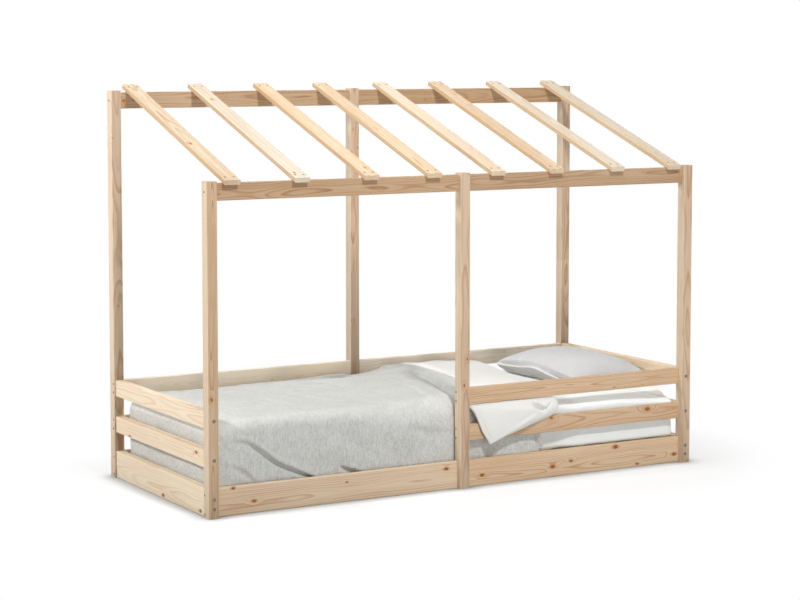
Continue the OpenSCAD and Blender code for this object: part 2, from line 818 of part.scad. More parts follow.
long_board(1, 0, 1);  // back_plank_head
long_board(1, 1, 1);  // back_middle_rail_head
long_board(1, 2, 1);  // back_upper_rail_head
long_board(0, 3, 0);  // front_header_foot
long_board(0, 3, 1);  // front_header_head
long_board(1, 3, 0);  // back_header_foot
long_board(1, 3, 1);  // back_header_head
roof_slat(0);  // roof_slat_1
roof_slat(1);  // roof_slat_2
roof_slat(2);  // roof_slat_3
roof_slat(3);  // roof_slat_4
roof_slat(4);  // roof_slat_5
roof_slat(5);  // roof_slat_6
roof_slat(6);  // roof_slat_7
roof_slat(7);  // roof_slat_8
ledger(0, 0);  // ledger_front_foot
ledger(0, 1);  // ledger_front_head
ledger(1, 0);  // ledger_back_foot
ledger(1, 1);  // ledger_back_head
base_slats();
base_ribbons();
corner_bolts();
barrel_nuts();
side_screws();
roof_screws();
ledger_screws();
rail_dowels();
splice_dowels();
mattress();
duvet();
pillow();
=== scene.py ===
"""Looks for the kids house bed: pine timber, steel fasteners, and simulated bedding on the CAD frame."""

import math

import bmesh
import bpy
import numpy as np
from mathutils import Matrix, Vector


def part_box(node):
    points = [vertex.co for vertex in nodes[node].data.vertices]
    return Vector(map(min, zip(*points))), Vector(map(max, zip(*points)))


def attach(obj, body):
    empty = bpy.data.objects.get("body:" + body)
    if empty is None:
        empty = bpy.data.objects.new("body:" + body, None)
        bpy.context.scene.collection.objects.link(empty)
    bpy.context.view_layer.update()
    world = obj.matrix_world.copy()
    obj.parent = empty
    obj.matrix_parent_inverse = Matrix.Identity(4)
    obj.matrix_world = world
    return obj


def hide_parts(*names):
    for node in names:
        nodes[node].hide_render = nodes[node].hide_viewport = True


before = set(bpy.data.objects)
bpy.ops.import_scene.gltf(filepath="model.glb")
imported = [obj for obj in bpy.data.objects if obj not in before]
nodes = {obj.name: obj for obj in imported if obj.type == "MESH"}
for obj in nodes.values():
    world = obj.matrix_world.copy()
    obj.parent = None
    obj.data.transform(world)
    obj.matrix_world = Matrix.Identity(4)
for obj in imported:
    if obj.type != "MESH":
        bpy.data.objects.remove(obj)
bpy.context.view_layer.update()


def new_object(name, data):
    made = bpy.data.objects.new(name, data)
    bpy.context.scene.collection.objects.link(made)
    return made


# Camera

CAMERA_PLACE = (-4.1195, -7.0731, 1.6298)
CAMERA_YAW = 0.5248
CAMERA_PITCH = -0.0803
FOCAL_PIXELS = 2129.85
PRINCIPAL_ROW = 220
PICTURE_W, PICTURE_H = 800, 600
SENSOR_WIDTH = 36

camera_data = bpy.data.cameras.new("camera")
camera = new_object("camera", camera_data)
bpy.context.scene.camera = camera
camera.location = CAMERA_PLACE
camera.rotation_euler = (math.pi / 2 + CAMERA_PITCH, 0, -CAMERA_YAW)
camera_data.sensor_width = SENSOR_WIDTH
camera_data.lens = FOCAL_PIXELS / PICTURE_W * SENSOR_WIDTH
camera_data.shift_y = (PRINCIPAL_ROW - PICTURE_H / 2) / PICTURE_W
camera_data.clip_end = 60
bpy.context.scene.view_settings.view_transform = "Standard"


# Shader helpers

def feed(tree, node, values):
    """Sets a node's inputs by name or number, each to a value or to a socket to link."""
    for name, value in values.items():
        value = value.socket if isinstance(value, Number) else value
        if isinstance(value, bpy.types.NodeSocket):
            tree.links.new(value, node.inputs[name])
        else:
            node.inputs[name].default_value = value


def add(tree, kind, values=None, **settings):
    made = tree.nodes.new(kind)
    for name, value in settings.items():
        setattr(made, name, value)
    feed(tree, made, values or {})
    return made


class Number:
    """An output of a shader's node that takes arithmetic: each operation adds its own node."""

    kind = "ShaderNodeMath"

    def __init__(self, tree, socket):
        self.tree, self.socket = tree, socket

    def do(self, operation, *others, **settings):
        made = add(self.tree, self.kind, dict(enumerate((self, *others))), operation=operation, **settings)
        return type(self)(self.tree, made.outputs[0])

    def __add__(self, other):
        return self.do("ADD", other)

    def __sub__(self, other):
        return self.do("SUBTRACT", other)

    def __mul__(self, other):
        return self.do("MULTIPLY", other)

    def __truediv__(self, other):
        return self.do("DIVIDE", other)


class Place(Number):
    """The same for an output that is a vector."""

    kind = "ShaderNodeVectorMath"

    def length(self):
        return Number(self.tree, add(self.tree, self.kind, {0: self}, operation="LENGTH").outputs["Value"])


def on_piece(tree):
    """The place on the piece."""
    return Place(tree, add(tree, "ShaderNodeTexCoord").outputs["Object"])


def facing(tree):
    """How far the surface faces along x, y and z, either way."""
    normal = add(tree, "ShaderNodeTexCoord").outputs["Normal"]
    return [Number(tree, part).do("ABSOLUTE") for part in add(tree, "ShaderNodeSeparateXYZ", {0: normal}).outputs]


def stored(tree, name):
    return Number(tree, add(tree, "ShaderNodeAttribute", attribute_name=name).outputs["Fac"])


def mixed(tree, factor, a, b, blend="MIX"):
    """The colour between two. Inputs 6 and 7 and output 2 are the mix node's sockets for colours."""
    made = add(tree, "ShaderNodeMix", {0: factor, 6: a, 7: b}, data_type="RGBA", blend_type=blend)
    return Number(tree, made.outputs[2])


def ramp(factor, stops, interpolation="EASE"):
    """A grey ramp from (place, value) pairs."""
    made = add(factor.tree, "ShaderNodeValToRGB", {0: factor})
    made.color_ramp.interpolation = interpolation
    while len(made.color_ramp.elements) < len(stops):
        made.color_ramp.elements.new(0.5)
    for element, (place, value) in zip(made.color_ramp.elements, stops):
        element.position = place
        element.color = (value, value, value, 1)
    return Number(factor.tree, made.outputs[0])


def noise(place, scale, detail=3, rough=0.5):
    """Noise at a place. scale is one number, or one for each axis."""
    if isinstance(scale, tuple):
        place, scale = place * scale, 1
    values = {"Vector": place, "Scale": scale, "Detail": detail, "Roughness": rough}
    return Number(place.tree, add(place.tree, "ShaderNodeTexNoise", values).outputs["Fac"])


def srgb(r, g, b):
    """A colour given as it looks on the screen, 0 to 255, as the shader's linear values."""
    def linear(v):
        v /= 255
        return v / 12.92 if v <= 0.04045 else ((v + 0.055) / 1.055) ** 2.4
    return (linear(r), linear(g), linear(b), 1)


def new_material(name):
    made = bpy.data.materials.new(name)
    made.use_nodes = True
    return made, made.node_tree


def coat(tree, colour, bump, others):
    """Gives a material its colour, its bump as height, strength and distance, and its other inputs."""
    bump = add(tree, "ShaderNodeBump", dict(zip(("Height", "Strength", "Distance"), bump)))
    feed(tree, tree.nodes["Principled BSDF"], {"Base Color": colour, "Normal": bump.outputs[0], **others})


def give(obj, material):
    obj.data.materials.clear()
    obj.data.materials.append(material)


# Pine: growth rings about a pith line, fibres, and knots that bend the rings round them

def group_tree(name, ins, outs):
    tree = bpy.data.node_groups.new(name, "ShaderNodeTree")
    for sockets, in_out in ((ins, "INPUT"), (outs, "OUTPUT")):
        for label, kind in sockets.items():
            tree.interface.new_socket(label, in_out=in_out, socket_type="NodeSocket" + kind)
    return tree, tree.nodes.new("NodeGroupInput").outputs, tree.nodes.new("NodeGroupOutput")


def knot_group():
    """Masks of one knot and of the wood round it, and how far it pushes the rings aside."""
    tree, source, target = group_tree(
        "knot", dict.fromkeys(("Place", "Centre", "Size"), "Vector"), dict.fromkeys(("Core", "Halo", "Swell"), "Float"),
    )
    place = Place(tree, source["Place"])
    scaled = (place - source["Centre"]) / source["Size"]
    feed(tree, target, {
        "Core": ramp((noise(place, 170, 2) - 0.5) * 0.5 + scaled.length(), [(0.55, 1.0), (1.0, 0.0)]),
        "Halo": ramp((scaled * (0.42, 0.8, 0.8)).length(), [(0.3, 1.0), (1.0, 0.0)]),
        "Swell": ramp((scaled * (0.22, 0.42, 0.42)).length(), [(0.0, 1.0), (1.0, 0.0)]),
    })
    return tree


def pine_group():
    """Colour, roughness and height of pine at a place given along, across and through the board."""
    tree, source, target = group_tree(
        "pine",
        {
            **dict.fromkeys(("Place", "Pith", "Shift"), "Vector"), **dict.fromkeys(("Pale", "Deep"), "Color"),
            **dict.fromkeys(("Core", "Halo", "Swell", "Ring"), "Float"),
        },
        {"Color": "Color", "Roughness": "Float", "Height": "Float"},
    )
    place = Place(tree, source["Place"])
    core, halo, swell = (Number(tree, source[name]) for name in ("Core", "Halo", "Swell"))
    shifted = place + source["Shift"]
    bend = add(tree, "ShaderNodeTexNoise", {"Vector": shifted * (1.6, 5.0, 5.0), "Scale": 1, "Detail": 2})
    bend = (Place(tree, bend.outputs["Color"]) - (0.5, 0.5, 0.5)) * (0, 0.05, 0.05)
    radius = ((place + bend - source["Pith"]) * (0, 1, 1)).length() + swell * 0.011
    years = radius / source["Ring"] + noise(shifted, (3, 60, 60)) * 0.55
    late = ramp(years.do("FRACT"), [(0.0, 0.05), (0.5, 0.1), (0.86, 1.0), (0.93, 0.9), (1.0, 0.05)], "LINEAR")
    each_year = add(tree, "ShaderNodeTexWhiteNoise", {"W": years.do("FLOOR")}, noise_dimensions="1D")
    rings = late * (Number(tree, each_year.outputs["Value"]) * 0.7 + 0.3)
    fibres = noise(shifted, (9, 700, 700), 3, 0.6)
    streaks = noise(shifted, (1.3, 110, 110), 4, 0.6)
    patches = noise(shifted, (2.2, 9, 9))
    depth = rings * 0.8 + (streaks - 0.42) * 0.8 + (patches - 0.48) * 0.8
    depth = depth.do("ADD", (fibres - 0.55) * 0.45, use_clamp=True)
    # Faces turned along x, either way, are painted paler: a painted sheen for the light that washes those faces out
    painted_x_face_sheen = facing(tree)[0] * 0.5
    paler = mixed(tree, painted_x_face_sheen, source["Pale"], srgb(240, 224, 202))
    deeper = mixed(tree, painted_x_face_sheen, source["Deep"], srgb(222, 192, 156))
    around = mixed(tree, halo * 0.8, mixed(tree, depth, paler, deeper), srgb(212, 146, 90))
    within = mixed(tree, noise(shifted, (90, 190, 190), 2), srgb(102, 58, 32), srgb(198, 124, 70))
    feed(tree, target, {
        "Color": mixed(tree, core, around, within), "Roughness": rings * -0.1 + 0.6,
        "Height": rings * 0.35 + fibres * 0.5 - core * 0.5,
    })
    return tree


KNOT = knot_group()
PINE = pine_group()
RING_WIDTH = 0.0047
KNOTS_LEAST = 3
SLOPE = math.atan2(0.297, 0.843)
# Painted shade that darkens the roof slats' long sides, the faces turned along x
SLAT_SIDE_PAINTED_SHADE = srgb(232, 218, 198)

# Knots that the photograph shows: row place on the board's face, and radius
SHOWN_KNOTS = {
    "front_post_foot": (((-1.0318, -0.4396, 0.4192), 0.0052),),
    "front_post_middle": (((-0.0044, -0.4396, 0.3868), 0.0042), ((0.0087, -0.4396, 0.4857), 0.0035)),
    "foot_middle_rail": (((-1.038, -0.3231, 0.2178), 0.006), ((-1.038, 0.273, 0.1801), 0.005)),
    "foot_plank": (((-1.038, -0.0329, 0.0121), 0.006), ((-1.038, -0.3548, 0.015), 0.006)),
    "front_plank_foot": (
        ((-0.94, -0.4156, 0.0958), 0.005), ((-0.8584, -0.4156, 0.0417), 0.0055), ((-0.0672, -0.4156, 0.0778), 0.0065),
        ((-0.4867, -0.4156, 0.0707), 0.003),
    ),
    "guard_rail_middle": (((0.4017, -0.4156, 0.2273), 0.0055), ((0.8536, -0.4156, 0.2236), 0.0085)),
    "front_plank_head": (
        ((0.4935, -0.4156, 0.0527), 0.0048), ((0.4081, -0.4156, 0.0386), 0.0072), ((0.0897, -0.4156, 0.0381), 0.0064),
        ((0.7021, -0.4156, 0.0875), 0.008), ((0.8069, -0.4156, 0.0111), 0.0045), ((0.9862, -0.4156, 0.0321), 0.007),
    ),
    "back_header_foot": (((-0.9897, 0.4154, 1.4339), 0.005),),
    "roof_slat_1": (((-0.962, -0.1283, 1.2927), 0.0058),),
    "roof_slat_2": (((-0.685, 0.2847, 1.4381), 0.0045), ((-0.69, -0.407, 1.1945), 0.0045)),
    "roof_slat_3": (((-0.392, -0.3832, 1.2028), 0.0045),),
}

# Which row axis runs along, across and through each kind of board
ALONG_X = (0, 2, 1)
ALONG_Y = (1, 2, 0)
ALONG_Z = (2, 0, 1)
SLAT = (1, 0, 2)

# Axes, pale and deep tone of each board, by how its node's name starts: the first that fits counts
BOARDS = (
    (("roof_slat_2", "roof_slat_5", "roof_slat_7", "roof_slat_8"), SLAT, (223, 210, 188), (196, 162, 130)),
    ("roof_slat", SLAT, (220, 200, 171), (188, 144, 102)),
    # The headers' tones are darker: painted shade for the shade under the roof slats
    ("front_header", ALONG_X, (196, 165, 132), (156, 112, 74)),
    ("back_header_head", ALONG_X, (198, 163, 126), (159, 114, 76)),
    ("back_header", ALONG_X, (206, 174, 140), (166, 122, 84)),
    ("front_plank_head", ALONG_X, (236, 206, 171), (198, 145, 98)),
    ("guard_rail", ALONG_X, (216, 186, 153), (179, 128, 84)),
    ("front_post_foot", ALONG_Z, (204, 178, 147), (166, 120, 80)),
    (("front_post", "back_post"), ALONG_Z, (210, 186, 160), (172, 130, 96)),
    ("back_upper_rail_head", ALONG_X, (250, 238, 220), (228, 198, 166)),
    ("back_upper_rail", ALONG_X, (254, 240, 218), (248, 218, 184)),
    (("foot_plank", "head_plank"), ALONG_Y, (253, 239, 212), (230, 192, 149)),
    (("foot_", "head_"), ALONG_Y, (246, 224, 194), (214, 172, 128)),
    (("front_plank", "back_", "ledger_front", "ledger_back"), ALONG_X, (241, 219, 190), (205, 157, 113)),
    ("base_slats", SLAT, (241, 219, 190), (205, 157, 113)),
    (("rail_dowels", "splice_dowels"), ALONG_X, (222, 190, 150), (190, 148, 104)),
)


def timber(node, axes, pale, deep):
    """Pine for one board. Small knots are added to the ones shown, by the board's own seed."""
    seed = sum(ord(letter) * (i + 3) for i, letter in enumerate(node)) % 9973
    rng = np.random.default_rng(seed)
    low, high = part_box(node)
    middle, size = (low + high) / 2, high - low
    tilt = SLOPE if node.startswith("roof_slat") else 0.0
    made, tree = new_material("pine_" + node)
    place = on_piece(tree) - middle
    if tilt:
        turned = add(tree, "ShaderNodeVectorRotate", {"Vector": place, "Angle": -tilt}, rotation_type="X_AXIS")
        place = turned.outputs[0]
    split = add(tree, "ShaderNodeSeparateXYZ", {0: place}).outputs
    local = add(tree, "ShaderNodeCombineXYZ", {i: split[axis] for i, axis in enumerate(axes)}).outputs[0]
    c, s = math.cos(tilt), math.sin(tilt)

    def to_local(point):
        x, y, z = np.array(point) - np.array(middle)
        point = (x, c * y + s * z, c * z - s * y)
        return tuple(float(point[axis]) for axis in axes)

    spots = [(to_local(point), radius) for point, radius in SHOWN_KNOTS.get(node, ())]
    length, width, depth = (size[axis] for axis in axes)
    while len(spots) < KNOTS_LEAST:
        spots.append((
            (rng.uniform(-0.46, 0.46) * length, rng.uniform(-0.42, 0.42) * width, rng.uniform(-0.5, 0.5) * depth),
            rng.uniform(0.0015, 0.0028),
        ))
    masks = None
    for centre, radius in spots:
        grown = (radius * 1.7, radius * 1.25, radius * 3 + 0.006)
        knot = add(tree, "ShaderNodeGroup", {"Place": local, "Centre": centre, "Size": grown}, node_tree=KNOT)
        own = [Number(tree, knot.outputs[name]) for name in ("Core", "Halo", "Swell")]
        masks = [a.do("MAXIMUM", b) for a, b in zip(masks, own)] if masks else own
    pith_side = rng.choice((-1, 1))
    pith = (0, rng.uniform(-0.3, 0.3) * width, pith_side * rng.uniform(0.012, 0.05))
    shift, ring = tuple(rng.uniform(-5, 5, 3)), RING_WIDTH * rng.uniform(0.8, 1.25)
    tone, warm = rng.uniform(-0.05, 0.05), rng.uniform(-0.03, 0.03)
    pale, deep = (
        tuple(v * (1 + tone + warm * (1 - i)) for i, v in enumerate(srgb(*colour)[:3])) + (1,)
        for colour in (pale, deep)
    )
    wood = add(tree, "ShaderNodeGroup", {
        "Place": local, "Core": masks[0], "Halo": masks[1], "Swell": masks[2], "Pith": pith, "Shift": shift,
        "Ring": ring, "Pale": pale, "Deep": deep,
    }, node_tree=PINE).outputs
    colour = wood["Color"]
    # On roof slats the faces turned along x get a painted shade, darker than their tops
    if tilt:
        colour = mixed(tree, facing(tree)[0], colour, SLAT_SIDE_PAINTED_SHADE, "MULTIPLY")
    coat(tree, colour, (wood["Height"], 0.25, 0.0004), {"Roughness": wood["Roughness"], "Specular IOR Level": 0.35})
    give(nodes[node], made)


for name in nodes:
    for starts, *board in BOARDS:
        if name.startswith(starts):
            timber(name, *board)
            break


# Steel fasteners

def steel(name, colour, roughness):
    made, tree = new_material(name)
    place = on_piece(tree)
    grain = noise(place, 900)
    darker = tuple(v * 0.72 for v in colour[:3]) + (1,)
    colour = mixed(tree, noise(place, 60), colour, darker)
    coat(tree, colour, (grain, 0.1, 0.0002), {"Roughness": grain * 0.2 + roughness, "Metallic": 1.0})
    return made


# The corner bolts' zinc is darker than the nuts': painted shade for the shade in their heads' sockets
give(nodes["corner_bolts"], steel("bolt_zinc", srgb(136, 132, 126), 0.26))
give(nodes["barrel_nuts"], steel("zinc", srgb(206, 206, 208), 0.22))
dark_zinc = steel("screw_zinc", srgb(112, 106, 98), 0.34)
for name in ("side_screws", "roof_screws", "ledger_screws"):
    give(nodes[name], dark_zinc)


# Cloth

CLOTH = {"Roughness": 0.9, "Sheen Weight": 0.25, "Specular IOR Level": 0.15}
WEAVE = 1500
STRIPE_PITCH = 0.0095


def cloth(name, colour, shade, heather=0.5, bump_by=0.25, streaks=0.0, lower=None):
    """Woven cloth: threads both ways, slubs, and heathered colour. streaks is how much the yarn's shade varies, and
    lower the tint of the pillow's lower panel."""
    made, tree = new_material(name)
    place = on_piece(tree)
    warp = noise(place, (WEAVE, WEAVE * 0.12, WEAVE * 0.5), 2)
    weft = noise(place, (WEAVE * 0.12, WEAVE, WEAVE * 0.5), 2)
    slubs = noise(place, (260, 40, 260), 3, 0.6)
    threads = (warp + weft) * 0.5
    depth = (threads - 0.3) * heather + (slubs - 0.35) * (heather * 0.8) + (noise(place, 14) - 0.4) * 0.3
    if streaks:
        end_on, _, flat = facing(tree)
        front, end = (
            noise(place, fine, 3, 0.65) + noise(place, slow, 3, 0.7) - 1.0
            for fine, slow in (((200, 40, 62), (300, 160, 210)), ((40, 200, 62), (160, 300, 210)))
        )
        depth = depth + (end_on * (end - front) + front) * (flat * (-0.55 * streaks) + streaks)
    colour = mixed(tree, depth.do("ADD", 0.0, use_clamp=True), colour, shade)
    if lower:
        colour = mixed(tree, stored(tree, "lower_side"), colour, mixed(tree, 1.0, colour, lower, "MULTIPLY"))
    coat(tree, colour, (threads + slubs * 0.6, bump_by, 0.0006), CLOTH)
    return made


def lining_cloth():
    """White cloth with fine grey stripes, which run along the cut."""
    made, tree = new_material("striped_lining")
    place = on_piece(tree)
    sway = (noise(place, 30, 2) - 0.5) * 0.12
    stripe = (stored(tree, "across") * (1 / STRIPE_PITCH) + sway).do("FRACT")
    line = ramp(stripe, [(0.0, 1.0), (0.12, 1.0), (0.24, 0.0), (0.9, 0.0), (1.0, 1.0)])
    strength = ramp(stored(tree, "down"), [(0.0, 0.08), (0.72, 0.08), (0.86, 0.36), (1.0, 0.36)])
    threads = noise(place, (900, 900, 300), 2)
    white = mixed(tree, threads, srgb(249, 248, 244), srgb(239, 238, 234))
    colour = mixed(tree, line * strength, white, srgb(200, 202, 196))
    coat(tree, colour, (threads, 0.15, 0.0005), {**CLOTH, "Sheen Weight": 0.2})
    return made


linen = cloth("linen", srgb(221, 222, 218), srgb(148, 151, 145), heather=0.6, streaks=1.25)
sheet_cotton = cloth("sheet_cotton", srgb(246, 250, 249), srgb(238, 242, 242), heather=0.3, bump_by=0.1)
give(nodes["base_ribbons"], cloth("tape", srgb(236, 234, 226), srgb(206, 204, 196)))
pillow_linen = cloth("pillow_linen", srgb(218, 218, 218), srgb(188, 188, 188), streaks=0.35, lower=srgb(206, 204, 196))
lining = lining_cloth()
trim = cloth("trim", srgb(240, 240, 236), srgb(222, 222, 216), heather=0.3, bump_by=0.1)


# Soft forms: grids of points, their wrinkles, and closed skins with rolled edges

def smooth(share):
    share = np.clip(share, 0, 1)
    return share * share * (3 - 2 * share)


def waves(a, b, seed, count, length, height, direction, spread=0.35):
    """Broad wrinkles: bent waves that run mostly one way, each strong in some places and faint in others."""
    rng = np.random.default_rng(seed)
    total = np.zeros(np.shape(a))
    for _ in range(count):
        turn = direction + rng.normal(0, spread)
        reach = length * rng.uniform(0.6, 1.7)
        along = (a * math.cos(turn) + b * math.sin(turn)) / reach
        across = (b * math.cos(turn) - a * math.sin(turn)) / (reach * 2.3)
        first, second, third = rng.uniform(0, 2 * math.pi, 3)
        wave = np.sin(2 * math.pi * along + first + 1.1 * np.sin(2 * math.pi * across + second))
        total += wave * (0.5 + 0.5 * np.sin(1.4 * math.pi * across + third))
    return height * total / math.sqrt(count)


def crease(a, b, points, depth, width, ridge):
    """The height of a groove along a line given in mm, which fades at its ends and has a ridge on its left side."""
    points, depth, width, ridge = np.array(points) / 1000, depth / 1000, width / 1000, ridge / 1000
    legs = np.linalg.norm(np.diff(points, axis=0), axis=1)
    near, side, share = np.full(np.shape(a), 1e9), np.ones(np.shape(a)), np.zeros(np.shape(a))
    done = 0.0
    for p, q, leg in zip(points[:-1], points[1:], legs):
        da, db = (q - p) / leg
        t = np.clip((a - p[0]) * da + (b - p[1]) * db, 0, leg)
        off_a, off_b = a - p[0] - t * da, b - p[1] - t * db
        far = np.hypot(off_a, off_b)
        closer = far < near
        near = np.where(closer, far, near)
        side = np.where(closer, np.sign(da * off_b - db * off_a), side)
        share = np.where(closer, (done + t) / legs.sum(), share)
        done += leg
    fade = np.sqrt(np.sin(math.pi * np.clip(share, 0.01, 0.99)))
    groove = -depth * np.exp(-((near / width) ** 2))
    swell = ridge * np.exp(-(((near * side - 1.4 * width) / (1.3 * width)) ** 2))
    return (groove + swell) * fade


def unit(vectors):
    return vectors / np.maximum(np.linalg.norm(vectors, axis=-1, keepdims=True), 1e-9)


def outward(grid):
    """The unit normal at each point of a grid."""
    return unit(np.cross(np.gradient(grid, axis=0), np.gradient(grid, axis=1)))


def raised(grid, height):
    """The grid with each point moved out along its normal."""
    return grid + outward(grid) * height[:, :, None]


def finer(grid):
    """The same grid with a smooth new point between every two, both ways."""
    for axis in (0, 1):
        g = np.moveaxis(grid, axis, 0)
        before = np.concatenate([2 * g[:1] - g[1:2], g[:-2]])
        after = np.concatenate([g[2:], 2 * g[-1:] - g[-2:-1]])
        middle = (-before + 9 * g[:-1] + 9 * g[1:] - after) / 16
        full = np.empty((2 * len(g) - 1,) + g.shape[1:])
        full[0::2], full[1::2] = g, middle
        grid = np.moveaxis(full, 0, axis)
    return grid


def sampled(grid, rows, cols):
    """Points of a grid at fractional rows and columns."""
    i = np.clip(np.floor(rows).astype(int), 0, grid.shape[0] - 2)
    j = np.clip(np.floor(cols).astype(int), 0, grid.shape[1] - 2)
    u, v = (rows - i)[:, None, None], (cols - j)[None, :, None]
    a, b = grid[np.ix_(i, j)], grid[np.ix_(i, j + 1)]
    c, d = grid[np.ix_(i + 1, j)], grid[np.ix_(i + 1, j + 1)]
    return (a * (1 - v) + b * v) * (1 - u) + (c * (1 - v) + d * v) * u


def grid_faces(rows, cols, closed=False):
    """The faces of a grid of points. In a closed one the last column's neighbour is the first."""
    i, j = np.meshgrid(np.arange(rows - 1), np.arange(cols - 1 + closed), indexing="ij")
    here, after = (i * cols + j).ravel(), (i * cols + (j + 1) % cols).ravel()
    return np.stack([here, after, after + cols, here + cols], axis=1)


def border(rows, cols):
    """The numbers of a grid's outer points, once round."""
    number = np.arange(rows * cols).reshape(rows, cols)
    return np.concatenate([number[0, :-1], number[:-1, -1], number[-1, :0:-1], number[:0:-1, 0]])


# Rows that round a sheet's edge off, and the outer side's steps in one step of the inner side
ROLL = 4
SPARSE = 4


def rolled(outer, inner, bulge):
    """The outer side of a filled sheet, with rows added that roll round its edges towards the inner side."""
    n, m = outer.shape[:2]
    rows, cols = np.arange(-ROLL, n + ROLL), np.arange(-ROLL, m + ROLL)
    i, j = np.clip(rows, 0, n - 1), np.clip(cols, 0, m - 1)
    over_i = ((rows - i) / ROLL)[:, None, None]
    over_j = ((cols - j) / ROLL)[None, :, None]
    here = np.ix_(i, j)
    step_i, step_j = unit(np.gradient(outer, axis=0)), unit(np.gradient(outer, axis=1))
    away = unit(step_i[here] * over_i + step_j[here] * over_j)
    half = (outer[here] - inner[here]) / 2
    # The roll stops short of the inner side, whose faces close it
    turn = 0.82 * math.pi * np.maximum(np.abs(over_i), np.abs(over_j))
    reach = np.linalg.norm(half, axis=2, keepdims=True) * bulge
    return outer[here] - half + half * np.cos(turn) + away * reach * np.sin(turn)


def new_piece(name, points, faces):
    mesh = bpy.data.meshes.new(name)
    mesh.from_pydata(points, [], faces)
    made = bmesh.new()
    made.from_mesh(mesh)
    bmesh.ops.recalc_face_normals(made, faces=made.faces)
    made.to_mesh(mesh)
    made.free()
    mesh.polygons.foreach_set("use_smooth", [True] * len(mesh.polygons))
    return new_object(name, mesh)


def mark(piece, name, values):
    """Stores a value at each point for the material."""
    piece.data.attributes.new(name, "FLOAT", "POINT").data.foreach_set("value", values)


def quilt(name, outer, inner, bulge=1.0, marks=None):
    """A closed filled sheet from its outer and its inner side. marks are values of the outer side for the material."""
    skin = rolled(outer, inner, bulge)
    n, m = skin.shape[:2]
    rows = np.linspace(0, outer.shape[0] - 1, (n - 1) // SPARSE + 1)
    cols = np.linspace(0, outer.shape[1] - 1, (m - 1) // SPARSE + 1)
    back = sampled(inner, rows, cols)
    faces = grid_faces(n, m).tolist()
    faces += (grid_faces(len(rows), len(cols))[:, ::-1] + n * m).tolist()
    fine, coarse = border(n, m), border(len(rows), len(cols)) + n * m
    half = SPARSE // 2
    for k, here in enumerate(coarse):
        after = coarse[(k + 1) % len(coarse)]
        along = [fine[(k * SPARSE + s) % len(fine)] for s in range(SPARSE + 1)]
        faces += [(along[s + 1], along[s], here if s < half else after) for s in range(SPARSE)]
        faces.append((along[half], here, after))
    points = np.concatenate([skin.reshape(-1, 3), back.reshape(-1, 3)])
    made = new_piece(name, points.tolist(), [tuple(int(v) for v in f) for f in faces])
    for label, values in (marks or {}).items():
        i, j = (np.clip(np.arange(-ROLL, count + ROLL), 0, count - 1) for count in outer.shape[:2])
        under = sampled(values[:, :, None], rows, cols)
        mark(made, label, np.concatenate([values[np.ix_(i, j)].ravel(), under.ravel()]))
    return made


# How hard it is to stretch the cloth, for Blender's solver
TENSION = 15.0


def simulate(points, faces, cap, cut, hold, bend, frames=20, pressure=0.0):
    """Blender's cloth on these points, from their place. cut is the shape that the cloth was cut to, hold how firmly
    a point keeps its place, and cap how far one may move. Gives the new points."""
    scene = bpy.context.scene
    work = new_piece("cloth_work", points.tolist(), faces)
    settings = work.modifiers.new("cloth", "CLOTH").settings
    work.shape_key_add(name="basis")
    key = work.shape_key_add(name="cut")
    key.data.foreach_set("co", cut.ravel())
    key.value = 0
    settings.rest_shape_key = key
    work.vertex_groups.new(name="hold").add(list(range(len(points))), hold, "REPLACE")
    settings.vertex_group_mass = "hold"
    settings.pin_stiffness = 1.0
    settings.quality = 5
    settings.mass = 0.3
    settings.tension_stiffness = settings.compression_stiffness = TENSION
    settings.shear_stiffness = TENSION / 3
    settings.bending_stiffness = bend
    settings.air_damping = 2
    settings.effector_weights.gravity = 0
    settings.use_pressure = pressure > 0
    settings.uniform_pressure_force = pressure
    for number in range(1, frames + 1):
        scene.frame_set(number)
    shown = work.evaluated_get(bpy.context.evaluated_depsgraph_get())
    found = np.empty(len(points) * 3)
    shown.data.vertices.foreach_get("co", found)
    moved = found.reshape(-1, 3) - points
    far = np.linalg.norm(moved, axis=1, keepdims=True)
    moved *= cap * np.tanh(far / cap) / np.maximum(far, 1e-9)
    mesh = work.data
    bpy.data.objects.remove(work)
    bpy.data.meshes.remove(mesh)
    scene.frame_set(1)
    return points + moved


# Mattress in its fitted sheet

MATTRESS_LOW = (-0.985, -0.3706, 0.0904)
MATTRESS_HIGH = (0.99, 0.3994, 0.2864)
CROWN = 0.005


